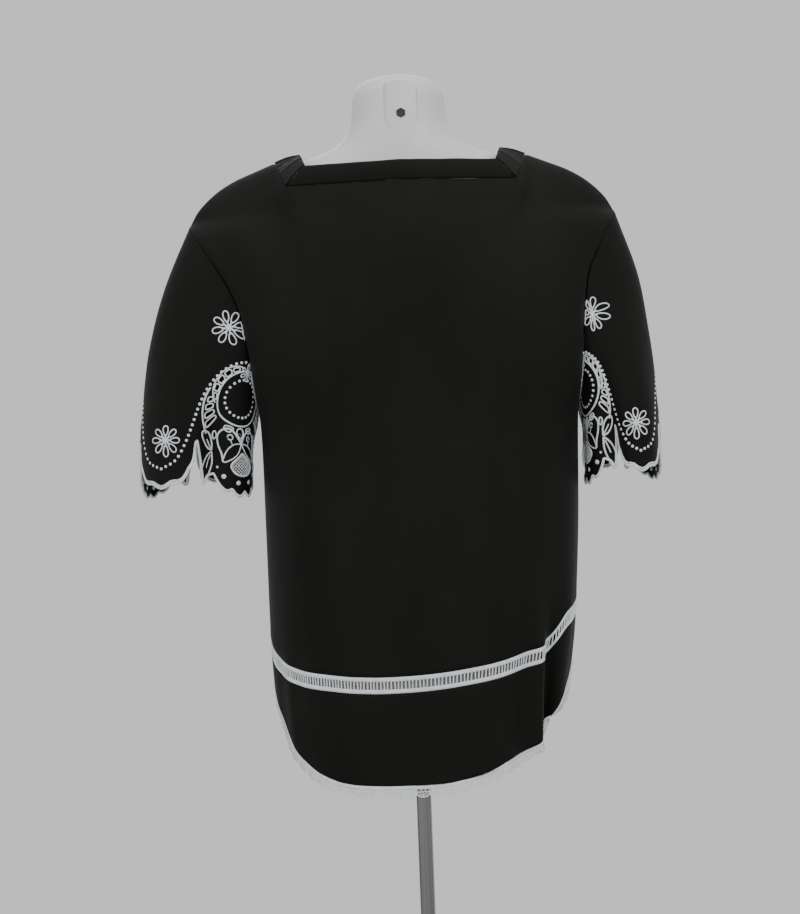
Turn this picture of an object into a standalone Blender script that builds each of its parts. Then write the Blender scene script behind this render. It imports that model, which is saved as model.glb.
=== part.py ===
"""A drop-shoulder tunic blouse with cutwork sleeves, worn by a limbless dress form on a pole stand.

Metres, +Z up, the front faces -Y, and the origin is under the middle of the base plate.
"""
import math

import bmesh
import bpy
from mathutils import Vector
from mathutils.geometry import delaunay_2d_cdt

WALL = 0.0012           # cloth thickness
GAP = 0.0005            # space between two pieces that are sewn together
BASE_RADIUS = 0.19
BASE_HEIGHT = 0.006
POLE_RADIUS = 0.009
FORM_BOTTOM = 0.76
SEAT = 0.0003

SHOULDER_Z = 1.324      # top of the armhole seam
UNDERARM_Z = 1.100      # bottom of the armhole seam
ARM_DEPTH = 0.066       # half of the armhole, front to back
ARM_STEPS = 10          # points down each side of the armhole

TRIM_WIDTH = 0.019
LACE_WIDTH = 0.013

SLEEVE_ROUND = 0.432    # length of the sleeve's edge, laid flat
TONGUE = 0.098          # width of a plain tongue along the edge
CUTWORK = 0.118         # width of a cutwork panel along the edge
REPEATS = 2             # a tongue and a cutwork panel, twice round each sleeve
TONGUE_MIDDLE = 0.072   # the first tongue's middle, round from the sleeve's outside
RING = 0.033            # radius of the cutwork's ring
RING_HEIGHT = 0.106     # the ring's middle above the edge
BAR = 0.0019            # width of a bar between two openings
SPLIT = math.radians(54)  # where a sleeve's two halves meet, round from its outside

# height, left half width, right half width, back depth, front depth
BODY = (
    (0.64, 0.158, 0.162, 0.098, 0.104),
    (0.70, 0.167, 0.170, 0.103, 0.110),
    (0.76, 0.172, 0.178, 0.108, 0.115),
    (0.83, 0.1755, 0.188, 0.112, 0.120),
    (0.95, 0.1765, 0.197, 0.117, 0.128),
    (1.07, 0.1775, 0.201, 0.120, 0.138),
    (1.138, 0.182, 0.204, 0.120, 0.142),
    (1.18, 0.187, 0.206, 0.119, 0.140),
    (1.214, 0.193, 0.209, 0.117, 0.137),
    (1.25, 0.208, 0.215, 0.113, 0.130),
    (1.275, 0.224, 0.227, 0.109, 0.124),
    (1.30, 0.240, 0.240, 0.103, 0.116),
    (1.324, 0.254, 0.254, 0.096, 0.107),
    (1.42, 0.254, 0.254, 0.070, 0.080),
)

# share of the half row, then x, y, z of the back piece's top edge
BACK_TOP = (
    (0.000, 0.000, 0.0740, 1.362),
    (0.366, 0.131, 0.0630, 1.360),
    (0.384, 0.141, 0.0400, 1.378),
    (0.402, 0.1485, 0.0013, 1.3975),
    (0.480, 0.176, 0.0013, 1.3865),
    (0.576, 0.200, 0.0013, 1.3765),
    (0.680, 0.222, 0.0013, 1.3630),
    (0.820, 0.242, 0.0013, 1.3440),
    (1.000, 0.254, 0.0016, 1.3240),
)

FRONT_TOP = (
    (0.000, 0.000, 0.1180, 1.268),
    (0.330, 0.126, 0.1060, 1.272),
    (0.366, 0.136, 0.0850, 1.325),
    (0.384, 0.143, 0.0500, 1.368),
    (0.402, 0.1485, 0.0013, 1.3975),
    (0.480, 0.176, 0.0013, 1.3865),
    (0.576, 0.200, 0.0013, 1.3765),
    (0.680, 0.222, 0.0013, 1.3630),
    (0.820, 0.242, 0.0013, 1.3440),
    (1.000, 0.254, 0.0016, 1.3240),
)

# share of the row from right to left, height of the ladder trim's upper edge
TRIM_TOP = (
    (-1.00, 0.8700),
    (-0.86, 0.8600),
    (-0.73, 0.8500),
    (-0.63, 0.8230),
    (-0.40, 0.8050),
    (-0.20, 0.7955),
    (0.00, 0.7900),
    (0.20, 0.7885),
    (0.38, 0.7910),
    (0.62, 0.7990),
    (0.80, 0.8130),
    (1.00, 0.8400),
)

# share of the row from the right side seam to the left one, height of the hem above its lowest point
HEM_RISE = (
    (-1.00, 0.136),
    (-0.86, 0.108),
    (-0.77, 0.085),
    (-0.66, 0.053),
    (-0.55, 0.036),
    (-0.40, 0.022),
    (-0.26, 0.009),
    (-0.08, 0.001),
    (0.20, 0.000),
    (0.38, 0.003),
    (0.52, 0.015),
    (0.64, 0.034),
    (0.74, 0.060),
    (0.83, 0.086),
    (1.00, 0.122),
)
HEM_LOW = 0.662

# height at the top and the bottom of a fold, share of the row there, width, depth there
BACK_FOLDS = (
    (1.05, -0.520, 0.66, -0.690, 0.056, 0.000, -0.020),
    (1.30, -0.350, 0.66, -0.610, 0.050, 0.001, 0.008),
    (1.30, -0.360, 0.80, -0.480, 0.070, -0.001, -0.006),
    (1.10, -0.760, 0.66, -0.830, 0.070, 0.000, 0.003),
    (1.30, 0.720, 0.70, 0.660, 0.060, -0.005, 0.004),
    (1.30, 0.580, 0.70, 0.500, 0.080, 0.003, 0.003),
)
FRONT_FOLDS = (
    (1.24, -0.45, 0.66, -0.52, 0.060, 0.003, 0.009),
    (1.24, -0.20, 0.66, -0.24, 0.070, 0.002, -0.006),
    (1.24, 0.30, 0.66, 0.36, 0.070, 0.002, -0.008),
    (1.24, 0.52, 0.66, 0.58, 0.060, 0.003, 0.009),
)

# share down the sleeve, outer x, outer z, inner x, inner z, middle y, half depth
SLEEVE_LEFT = (
    (0.00, 0.254, 1.324, 0.1787, 1.100, 0.000, 0.066),
    (0.25, 0.288, 1.250, 0.1840, 1.078, -0.002, 0.067),
    (0.48, 0.310, 1.179, 0.1870, 1.058, -0.006, 0.065),
    (0.67, 0.320, 1.119, 0.1880, 1.042, -0.012, 0.063),
    (0.82, 0.3255, 1.071, 0.1885, 1.026, -0.016, 0.062),
    (1.00, 0.327, 1.000, 0.1890, 0.998, -0.020, 0.061),
)
SLEEVE_RIGHT = (
    (0.00, 0.254, 1.324, 0.2035, 1.100, 0.000, 0.066),
    (0.25, 0.279, 1.250, 0.2070, 1.078, -0.004, 0.068),
    (0.48, 0.291, 1.179, 0.2090, 1.058, -0.010, 0.070),
    (0.67, 0.297, 1.119, 0.2090, 1.042, -0.016, 0.071),
    (0.82, 0.300, 1.071, 0.2080, 1.026, -0.020, 0.071),
    (1.00, 0.302, 1.000, 0.2070, 0.998, -0.024, 0.071),
)

# turn round the sleeve in degrees (0 outside, 90 back, 180 inside), width in degrees, depth at the edge
SLEEVE_FOLDS = (
    (60.0, 26.0, 0.006),
    (104.0, 10.0, -0.015),
    (138.0, 20.0, 0.008),
    (185.0, 14.0, -0.010),
    (236.0, 24.0, 0.006),
    (276.0, 12.0, -0.012),
    (322.0, 22.0, 0.006),
)

# a cutwork panel's cut edge, from its notch to its middle: across from the middle, up from the edge
PANEL_EDGE = (
    (0.0575, 0.0460),
    (0.0540, 0.0320),
    (0.0500, 0.0130),
    (0.0420, 0.0185),
    (0.0335, 0.0200),
)
# a tongue's cut edge, from its notch to its middle
TONGUE_EDGE = (
    (0.0465, 0.0480),
    (0.0440, 0.0330),
    (0.0370, 0.0215),
    (0.0200, 0.0125),
    (0.0000, 0.0095),
)

# height, half width, back depth, front depth
FORM = (
    (FORM_BOTTOM, 0.128, 0.086, 0.088),
    (0.763, 0.138, 0.092, 0.094),
    (0.775, 0.142, 0.096, 0.098),
    (0.86, 0.150, 0.100, 0.104),
    (0.95, 0.146, 0.096, 0.100),
    (1.05, 0.126, 0.084, 0.090),
    (1.12, 0.126, 0.084, 0.098),
    (1.20, 0.142, 0.092, 0.116),
    (1.26, 0.160, 0.095, 0.116),
    (1.31, 0.176, 0.088, 0.098),
    (1.345, 0.188, 0.074, 0.080),
    (1.363, 0.185, 0.064, 0.068),
    (1.377, 0.169, 0.057, 0.062),
    (1.387, 0.146, 0.053, 0.058),
    (1.395, 0.123, 0.051, 0.056),
    (1.403, 0.100, 0.050, 0.055),
    (1.4115, 0.080, 0.0495, 0.054),
    (1.427, 0.064, 0.049, 0.053),
    (1.446, 0.0575, 0.049, 0.053),
    (1.465, 0.0560, 0.0500, 0.0530),
    (1.474, 0.0545, 0.0490, 0.0515),
    (1.482, 0.0500, 0.0450, 0.0470),
    (1.489, 0.0410, 0.0370, 0.0385),
    (1.4945, 0.0250, 0.0230, 0.0240),
    (1.497, 0.0080, 0.0075, 0.0078),
)

BLACK_CLOTH = ("black_cloth", (0.012, 0.012, 0.010), 0.85, 0.0)
WHITE_THREAD = ("white_trim", (0.72, 0.74, 0.76), 0.8, 0.0)
FORM_PLASTIC = ("form_plastic", (0.72, 0.71, 0.71), 0.45, 0.0)
CHROME = ("chrome", (0.75, 0.75, 0.76), 0.15, 1.0)
BASE_METAL = ("base_metal", (0.70, 0.70, 0.71), 0.3, 1.0)


def clear_scene():
    for item in list(bpy.data.objects):
        bpy.data.objects.remove(item, do_unlink=True)


def material(look):
    """The look's material, made once."""
    name, colour, rough, metal = look
    found = bpy.data.materials.get(name)
    if found:
        return found
    made = bpy.data.materials.new(name)
    made.use_nodes = True
    shader = made.node_tree.nodes["Principled BSDF"]
    shader.inputs["Base Color"].default_value = (*colour, 1.0)
    shader.inputs["Roughness"].default_value = rough
    shader.inputs["Metallic"].default_value = metal
    return made


def add_object(name, bm, look, smooth=True):
    """A named object from the bmesh, faces turned outwards."""
    bmesh.ops.recalc_face_normals(bm, faces=bm.faces[:])
    mesh = bpy.data.meshes.new(name)
    bm.to_mesh(mesh)
    bm.free()
    if smooth:
        mesh.shade_smooth()
        mesh.set_sharp_from_angle(angle=math.radians(40))
    made = bpy.data.objects.new(name, mesh)
    bpy.context.scene.collection.objects.link(made)
    mesh.materials.append(material(look))
    return made


def table(rows, at):
    """The row of a table at a value of its first column, read along a smooth curve."""
    if at <= rows[0][0]:
        return rows[0][1:]
    if at >= rows[-1][0]:
        return rows[-1][1:]
    i = 1
    while rows[i][0] < at:
        i += 1
    low, high = rows[i - 1], rows[i]
    t = (at - low[0]) / (high[0] - low[0])
    before = rows[max(i - 2, 0)]
    after = rows[min(i + 1, len(rows) - 1)]
    values = []
    for k in range(1, len(low)):
        run = high[0] - low[0]
        slope0 = (high[k] - before[k]) / (high[0] - before[0]) * run
        slope1 = (after[k] - low[k]) / (after[0] - low[0]) * run
        step = high[k] - low[k]
        slope0 = limited(slope0, step)
        slope1 = limited(slope1, step)
        a = 2 * t ** 3 - 3 * t ** 2 + 1
        b = t ** 3 - 2 * t ** 2 + t
        c = -2 * t ** 3 + 3 * t ** 2
        d = t ** 3 - t ** 2
        values.append(a * low[k] + b * slope0 + c * high[k] + d * slope1)
    return values


def limited(slope, step):
    """A slope that keeps the curve between its two points."""
    if slope * step <= 0:
        return 0.0
    return math.copysign(min(abs(slope), 3 * abs(step)), step)


def straight(rows, at):
    """The row of a table at a value of its first column, read along straight lines."""
    if at <= rows[0][0]:
        return rows[0][1:]
    for low, high in zip(rows, rows[1:]):
        if at <= high[0]:
            t = (at - low[0]) / (high[0] - low[0])
            return [a + (b - a) * t for a, b in zip(low[1:], high[1:])]
    return rows[-1][1:]


def smooth_step(t):
    t = min(max(t, 0.0), 1.0)
    return t * t * (3 - 2 * t)


def trim_top(s):
    """Height of the ladder trim's upper edge across a row."""
    return table(TRIM_TOP, s)[0]


def hem_edge(s):
    return HEM_LOW + table(HEM_RISE, s)[0]


def armhole_depth(z):
    """How far the armhole's edge lies from the middle plane at a height."""
    middle = (SHOULDER_Z + UNDERARM_Z) / 2
    half = (SHOULDER_Z - UNDERARM_Z) / 2
    part = (z - middle) / half
    if abs(part) >= 1:
        return 0.0
    return ARM_DEPTH * math.sqrt(1 - part * part)


def fold_depth(folds, s, z):
    """How far the folds push the cloth outwards."""
    total = 0.0
    for z_top, s_top, z_low, s_low, width, depth_top, depth_low in folds:
        t = min(max((z_top - z) / (z_top - z_low), 0.0), 1.0)
        middle = s_top + (s_low - s_top) * t
        depth = depth_top + (depth_low - depth_top) * t
        total += depth * math.exp(-((s - middle) / width) ** 2)
    return total * smooth_step((1 - abs(s)) / 0.15)


def round_body(side, s, z):
    """A point of the body's round surface: side 1 is the back and -1 the front, s runs from -1 to 1."""
    left, right, back, front = table(BODY, z)
    half = left if s > 0 else right
    depth = back if side > 0 else front
    edge = armhole_depth(z)
    turn = math.pi / 2 * s
    across = math.sin(turn)
    out = math.cos(turn) ** 0.86 if abs(s) < 1 else 0.0
    folds = BACK_FOLDS if side > 0 else FRONT_FOLDS
    push = fold_depth(folds, s, z)
    middle = (left - right) / 2 * (1 - across * across) * (1 - smooth_step((z - 1.1) / 0.2))
    x = half * across + middle * 0.5
    y = max(edge + (depth - edge) * out, 0.0012 if z > UNDERARM_Z else 0.0)
    return Vector((x + push * across * 0.6, side * (y + push), z))


def top_edge(rows, s):
    """The body's upper edge: straight lines round the neck and a smooth shoulder."""
    shoulder = [row for row in rows if row[0] > 0.4]
    if s <= shoulder[0][0]:
        return straight(rows, s)
    return table(shoulder, s)


def panel_point(side, s, w):
    """A point of the back or front piece: w is 0 at the ladder trim and 1 at the shoulder and neck."""
    x, y, z = top_edge(BACK_TOP if side > 0 else FRONT_TOP, abs(s))
    low = trim_top(s) + GAP / 2
    height = low + (z - low) * w
    spot = round_body(side, s, height)
    end = round_body(side, s, z)
    top = Vector((math.copysign(x, s), side * y, z))
    if s == 0:
        top.x = 0.0
    share = smooth_step((w - 0.55) / 0.45)
    t = min(max((w - 0.5) / 0.5, 0.0), 1.0)
    round_off = 1 - math.sqrt(1 - t ** 2.4)
    change = top - end
    return spot + Vector((change.x * share, change.y * round_off, 0))


def strip_point(side, s, high, low, t):
    """A point of a strip round the body, between two edges given as heights across the row."""
    z = high(s) + (low(s) - high(s)) * t
    return round_body(side, s, z)


def normals(grid):
    """The surface's direction at each point of a grid of points."""
    rows, columns = len(grid), len(grid[0])
    found = []
    for j in range(rows):
        line = []
        for i in range(columns):
            along = grid[j][min(i + 1, columns - 1)] - grid[j][max(i - 1, 0)]
            up = grid[min(j + 1, rows - 1)][i] - grid[max(j - 1, 0)][i]
            way = along.cross(up)
            line.append(way.normalized() if way.length > 1e-12 else Vector((0, 0, 1)))
        found.append(line)
    return found


def sheet_from_grid(name, grid, look, wall=WALL):
    """A thin closed wall with the grid in the middle of it."""
    facing = normals(grid)
    rows, columns = len(grid), len(grid[0])
    bm = bmesh.new()
    layers = []
    for way in (wall / 2, -wall / 2):
        layer = [[bm.verts.new(grid[j][i] + facing[j][i] * way) for i in range(columns)]
                 for j in range(rows)]
        layers.append(layer)
    for layer, turn in zip(layers, (1, -1)):
        for j in range(rows - 1):
            for i in range(columns - 1):
                ring = [layer[j][i], layer[j][i + 1], layer[j + 1][i + 1], layer[j + 1][i]]
                bm.faces.new(ring[::turn])
    outline = [(0, i) for i in range(columns - 1)]
    outline += [(j, columns - 1) for j in range(rows - 1)]
    outline += [(rows - 1, i) for i in range(columns - 1, 0, -1)]
    outline += [(j, 0) for j in range(rows - 1, 0, -1)]
    for k, (j, i) in enumerate(outline):
        jj, ii = outline[(k + 1) % len(outline)]
        bm.faces.new((layers[0][j][i], layers[1][j][i], layers[1][jj][ii], layers[0][jj][ii]))
    return add_object(name, bm, look)


def across_row(inset=0.0):
    """The places across a body row, closer together at the neck's corners."""
    half = [0.0, 0.11, 0.22, 0.33, 0.366, 0.384, 0.402, 0.48, 0.576]
    half += [0.66, 0.74, 0.82, 0.90, 0.955, 1.0 - inset]
    return [-s for s in half[:0:-1]] + half


def armhole_turns():
    """The armhole's points, as turns from its top to its bottom."""
    return [math.pi * k / ARM_STEPS for k in range(ARM_STEPS + 1)]


def panel_rows(sign):
    """The rows of a body panel, which meet the armhole's points at its edge."""
    low = trim_top(sign) + GAP / 2
    middle = (SHOULDER_Z + UNDERARM_Z) / 2
    half = (SHOULDER_Z - UNDERARM_Z) / 2
    rows = [k / 6 * (UNDERARM_Z - low) for k in range(6)]
    rows += [middle - half * math.cos(turn) - low for turn in armhole_turns()]
    return [row / (SHOULDER_Z - low) for row in rows]


def make_body_panels():
    places = across_row(0.002)
    for name, side in (("back_panel", 1), ("front_panel", -1)):
        rows = list(zip(panel_rows(-1), panel_rows(1)))
        grid = [[panel_point(side, s, a + (b - a) * (s + 1) / 2) for s in places] for a, b in rows]
        sheet_from_grid(name, grid, BLACK_CLOTH)


def make_lower_strips():
    """The ladder trim, the hem panel and the hem lace, each as a back and a front piece."""
    def trim_high(s):
        return trim_top(s) - GAP / 2

    def trim_low(s):
        return trim_top(s) - TRIM_WIDTH + GAP / 2

    def panel_high(s):
        return trim_top(s) - TRIM_WIDTH - GAP / 2

    def panel_low(s):
        return hem_edge(s) + GAP / 2

    def lace_high(s):
        return hem_edge(s) - GAP / 2 - 0.0007 * math.exp(-((s + 0.72) / 0.08) ** 2)

    def lace_low(s):
        return hem_edge(s) - LACE_WIDTH

    strips = (
        ("ladder", trim_high, trim_low, 1, WHITE_THREAD),
        ("hem_panel", panel_high, panel_low, 4, BLACK_CLOTH),
        ("hem_lace", lace_high, lace_low, 1, WHITE_THREAD),
    )
    places = across_row(0.002)
    for stem, high, low, steps, look in strips:
        for end, side in (("back", 1), ("front", -1)):
            grid = [[strip_point(side, s, high, low, 1 - k / steps) for s in places]
                    for k in range(steps + 1)]
            sheet_from_grid(f"{stem}_{end}", grid, look)


def band_grid(outer, inner, steps, ripple=0.0, waves=0):
    """A strip between two lines of points, with gathers that run across it."""
    grid = []
    for k in range(4):
        t = k / 3
        line = []
        for i in range(steps + 1):
            u = i / steps
            spot = outer(u).lerp(inner(u), t)
            rise = ripple * math.sin(2 * math.pi * waves * u) * math.sin(math.pi * min(u, 1 - u) * 2)
            spot.z += rise + 0.002 * math.sin(math.pi * t)
            line.append(spot)
        grid.append(line)
    return grid


# the inner edge of a shoulder's band, from the back corner over the top to the front corner: x, y, z
BAND_INNER = (
    (0.1120, 0.0590, 1.3860),
    (0.1165, 0.0360, 1.3985),
    (0.1195, 0.0000, 1.4050),
    (0.1190, -0.0380, 1.3930),
    (0.1140, -0.0660, 1.3560),
    (0.1060, -0.0985, 1.2955),
)


def along(points, u):
    """A point at a share of a line's length."""
    lengths = [(b - a).length for a, b in zip(points, points[1:])]
    left = u * sum(lengths)
    for a, b, length in zip(points, points[1:], lengths):
        if left <= length or b is points[-1]:
            return a.lerp(b, min(left / length, 1.0))
        left -= length


def make_neckbands():
    """Four bands round the square neck: straight at the back and front, gathered on each shoulder."""
    def straight_band(name, rows, side, corner, inner_x, lift, lean):
        def outer(u):
            s = corner * (1 - 2 * u) * 0.985
            x, y, z = straight(rows, abs(s))
            return Vector((math.copysign(x, s), side * y, z + 0.0006))

        def inner(u):
            spot = outer(u)
            x = inner_x * (1 - 2 * u)
            return Vector((x, spot.y - side * lean, spot.z + lift))
        sheet_from_grid(name, band_grid(outer, inner, 12), BLACK_CLOTH)

    straight_band("neckband_back", BACK_TOP, 1, 0.366, 0.1105, 0.0235, 0.0035)
    straight_band("neckband_front", FRONT_TOP, -1, 0.330, 0.1045, 0.0225, 0.0075)
    outer_back = [Vector((x, y, z)) for s, x, y, z in BACK_TOP if 0.36 < s < 0.41]
    outer_front = [Vector((x, -y, z)) for s, x, y, z in FRONT_TOP[::-1] if 0.32 < s < 0.40]
    for name, sign in (("neckband_left", 1), ("neckband_right", -1)):
        outer_line = [Vector((sign * (p.x - 0.0023), p.y, p.z + 0.0008)) for p in outer_back + outer_front]
        inner_line = [Vector((sign * x, y, z)) for x, y, z in BAND_INNER]
        outer_line[0] += Vector((sign * 0.0022, -0.0004, 0.0014))
        outer_line[-1] += Vector((sign * 0.0002, 0.0008, 0.0022))
        grid = band_grid(lambda u: along(outer_line, u), lambda u: along(inner_line, u), 22, 0.0012, 7)
        sheet_from_grid(name, grid, BLACK_CLOTH)


def sleeve_point(sign, turn, down):
    """A point of a sleeve: turn 0 is its outside and a quarter turn its back, down is 0 at the seam."""
    rows = SLEEVE_LEFT if sign > 0 else SLEEVE_RIGHT
    out_x, out_z, in_x, in_z, middle, depth = table(rows, down)
    c, s = math.cos(turn), math.sin(turn)
    x = (out_x + in_x) / 2 + (out_x - in_x) / 2 * c
    z = (out_z + in_z) / 2 + (out_z - in_z) / 2 * c
    y = middle + depth * s
    seam_x = (rows[0][1] + rows[0][3]) / 2 + (rows[0][1] - rows[0][3]) / 2 * c
    seam_z = (SHOULDER_Z + UNDERARM_Z) / 2 + (SHOULDER_Z - UNDERARM_Z) / 2 * c
    body_x = table(BODY, seam_z)[0 if sign > 0 else 1]
    x += (body_x - seam_x) * (1 - smooth_step(down))
    push = 0.0
    degrees = math.degrees(turn) % 360
    for at, width, deep in SLEEVE_FOLDS:
        away = (degrees - at + 180) % 360 - 180
        push += deep * math.exp(-(away / width) ** 2)
    push *= smooth_step((down - 0.12) / 0.75)
    x += 0.0018 * smooth_step((0.9 - c) / 0.6) * (1 - smooth_step(down * 4))
    return Vector((sign * (x + push * c), y + push * s, z))


def sleeve_length(turn):
    """How long the sleeve is along a turn, from its seam to its edge."""
    c = math.cos(turn)
    return 0.216 + 0.114 * c - 0.012 * math.sin(turn)


def pattern_turn(sign, u, v):
    """How far round the sleeve a place of its flat pattern lies: the pattern leans outwards near the body."""
    around = u % SLEEVE_ROUND
    inner = smooth_step((around - 0.06) / 0.10) * smooth_step((0.29 - around) / 0.09)
    if sign > 0:
        shift = -inner * (0.012 + 0.023 * smooth_step(v / 0.16))
    else:
        near_tongue = (u + 0.02) % SLEEVE_ROUND
        outer = smooth_step(near_tongue / 0.07) * smooth_step((0.17 - near_tongue) / 0.07)
        shift = 0.014 * outer - inner * 0.022 * smooth_step((v - 0.04) / 0.12)
    return 2 * math.pi * (u + shift) / SLEEVE_ROUND


def pattern_top(sign, u):
    """How high the flat pattern reaches at its seam with the body."""
    v = 0.2
    for _ in range(14):
        v = sleeve_length(pattern_turn(sign, u, v))
    return v


def sleeve_at(sign, u, v):
    """The sleeve's point for its flat pattern: u runs round from its outside, v up from its edge."""
    turn = pattern_turn(sign, u, v)
    down = 1 - v / sleeve_length(turn)
    return sleeve_point(sign, turn, down)


def sleeve_facing(sign, u, v):
    step = 0.0008
    around = sleeve_at(sign, u + step, v) - sleeve_at(sign, u - step, v)
    up = sleeve_at(sign, u, v + step) - sleeve_at(sign, u, v - step)
    return around.cross(up).normalized() * sign


def scallops(reach, rise, low, bumps, deep, steps=4):
    """A scalloped edge from -reach to reach, lowest in the middle, as points across and up."""
    points = []
    for k in range(bumps * steps + 1):
        t = k / (bumps * steps)
        across = reach * (2 * t - 1)
        base = low + rise * abs(2 * t - 1) ** 2.2
        points.append((across, base + deep - deep * abs(math.sin(math.pi * bumps * t)) ** 0.8))
    return points


def panel_edge():
    """One cutwork panel's edge: a leaf's tip at each side and four scallops between them."""
    left = [(-a, b) for a, b in PANEL_EDGE]
    return left + scallops(0.0315, 0.0115, 0.0, 4, 0.0042) + [(-a, b) for a, b in left[::-1]]


def tongue_edge():
    """One tongue's edge: five scallops along a round lobe."""
    reach = TONGUE_EDGE[0][0]
    rows = sorted(TONGUE_EDGE)
    points = []
    steps = 24
    for k in range(steps + 1):
        t = 2 * k / steps - 1
        across = reach * math.sin(t * math.pi / 2)
        base = table(rows, abs(across))[0]
        bump = 0.0040 * abs(math.sin(math.pi * 2.5 * (t + 1))) * (1 - t ** 4) - 0.0040
        points.append((across, base - bump))
    return points


def edge_run(first, repeats):
    """The cut edge of a run of repeats, starting with the tongue whose middle is at first."""
    pitch = SLEEVE_ROUND / REPEATS
    points = []
    for k in range(repeats):
        middle = first + k * pitch
        points += [(middle + a, b) for a, b in tongue_edge()]
        points.append((middle + TONGUE / 2 - 0.0005, 0.0545))
        middle += pitch / 2
        points += [(middle + a, b) for a, b in panel_edge()]
        points.append((middle + CUTWORK / 2 + 0.0005, 0.0545))
    return points


def ring_cells(start, end, count, inner, outer):
    """The openings between two curves round the ring, which are given as radii along the turn."""
    cells = []
    for k in range(count):
        t0, t1 = k / count, (k + 1) / count
        turns = [math.radians(start + (end - start) * t) for t in (t0, (t0 + t1) / 2, t1)]
        low = [inner((t0 + t1) / 2) + BAR / 2] * 3
        high = [outer(t) - BAR / 2 for t in (t0 * 0.8 + t1 * 0.2, (t0 + t1) / 2, t0 * 0.2 + t1 * 0.8)]
        slip = BAR / 2 / low[0]
        way = 1 if end > start else -1
        turns[0] += slip * way
        turns[2] -= slip * way
        corners = list(zip(low, turns)) + list(zip(high, turns))[::-1]
        cell = [(r * math.cos(a), RING_HEIGHT + r * math.sin(a)) for r, a in corners]
        if min(b - a for a, b in zip(low, high)) > 0.0035:
            cells.append(cell)
    return cells


def panel_holes():
    """The cut-out openings of one cutwork panel, across from its middle and up from the edge."""
    half = ring_cells(72, -6, 5, lambda t: RING + 0.0004,
                      lambda t: RING + 0.0004 + 0.0105 * math.sin(math.pi * (0.12 + 0.76 * t)) ** 0.7)
    half += ring_cells(2, -40, 4, lambda t: 0.0385 - 0.001 * t, lambda t: 0.0465 + 0.0150 * t)
    half.append([(0.0085, 0.0690), (0.0150, 0.0640), (0.0215, 0.0690), (0.0200, 0.0740), (0.0105, 0.0715)])
    half.append([(0.0285, 0.0600), (0.0335, 0.0555), (0.0360, 0.0640), (0.0310, 0.0680)])
    whole = half + [[(-a, b) for a, b in cell[::-1]] for cell in half]
    whole.append([(0.0, 0.0560), (0.0058, 0.0635), (0.0040, 0.0705), (-0.0040, 0.0705), (-0.0058, 0.0635)])
    return whole


def sleeve_outline(sign, turn_from, turn_to):
    """The flat outline of half a sleeve, from one long edge to the other."""
    pitch = SLEEVE_ROUND / REPEATS
    u_from = turn_from / (2 * math.pi) * SLEEVE_ROUND
    u_to = turn_to / (2 * math.pi) * SLEEVE_ROUND
    run = edge_run(TONGUE_MIDDLE - pitch, REPEATS + 2)
    edge = [p for p in run if u_from + 0.0012 < p[0] < u_to - 0.0012]
    start = min(run, key=lambda p: abs(p[0] - u_from))[1]
    end = min(run, key=lambda p: abs(p[0] - u_to))[1]
    outline = [(u_from + GAP / 2, start)] + edge + [(u_to - GAP / 2, end)]
    for k in range(ARM_STEPS + 1):
        turn = turn_from + (turn_to - turn_from) * (1 - k / ARM_STEPS)
        u = turn / (2 * math.pi) * SLEEVE_ROUND
        u = min(max(u, u_from + GAP / 2), u_to - GAP / 2)
        outline.append((u, pattern_top(sign, u) - 0.0014))
    return outline


def inside(loop, u, v):
    hit = False
    for (u0, v0), (u1, v1) in zip(loop, loop[1:] + loop[:1]):
        if (v0 > v) != (v1 > v):
            if u < u0 + (v - v0) / (v1 - v0) * (u1 - u0):
                hit = not hit
    return hit


def near(loop, u, v, reach):
    for (u0, v0), (u1, v1) in zip(loop, loop[1:] + loop[:1]):
        du, dv = u1 - u0, v1 - v0
        t = ((u - u0) * du + (v - v0) * dv) / (du * du + dv * dv)
        t = min(max(t, 0.0), 1.0)
        if math.hypot(u - u0 - t * du, v - v0 - t * dv) < reach:
            return True
    return False


def refine(loop, longest):
    """The loop with long sides split, so that the wall can bend along them."""
    points = []
    for (u0, v0), (u1, v1) in zip(loop, loop[1:] + loop[:1]):
        parts = max(1, math.ceil(math.hypot(u1 - u0, v1 - v0) / longest))
        points += [(u0 + (u1 - u0) * k / parts, v0 + (v1 - v0) * k / parts) for k in range(parts)]
    return points


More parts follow.
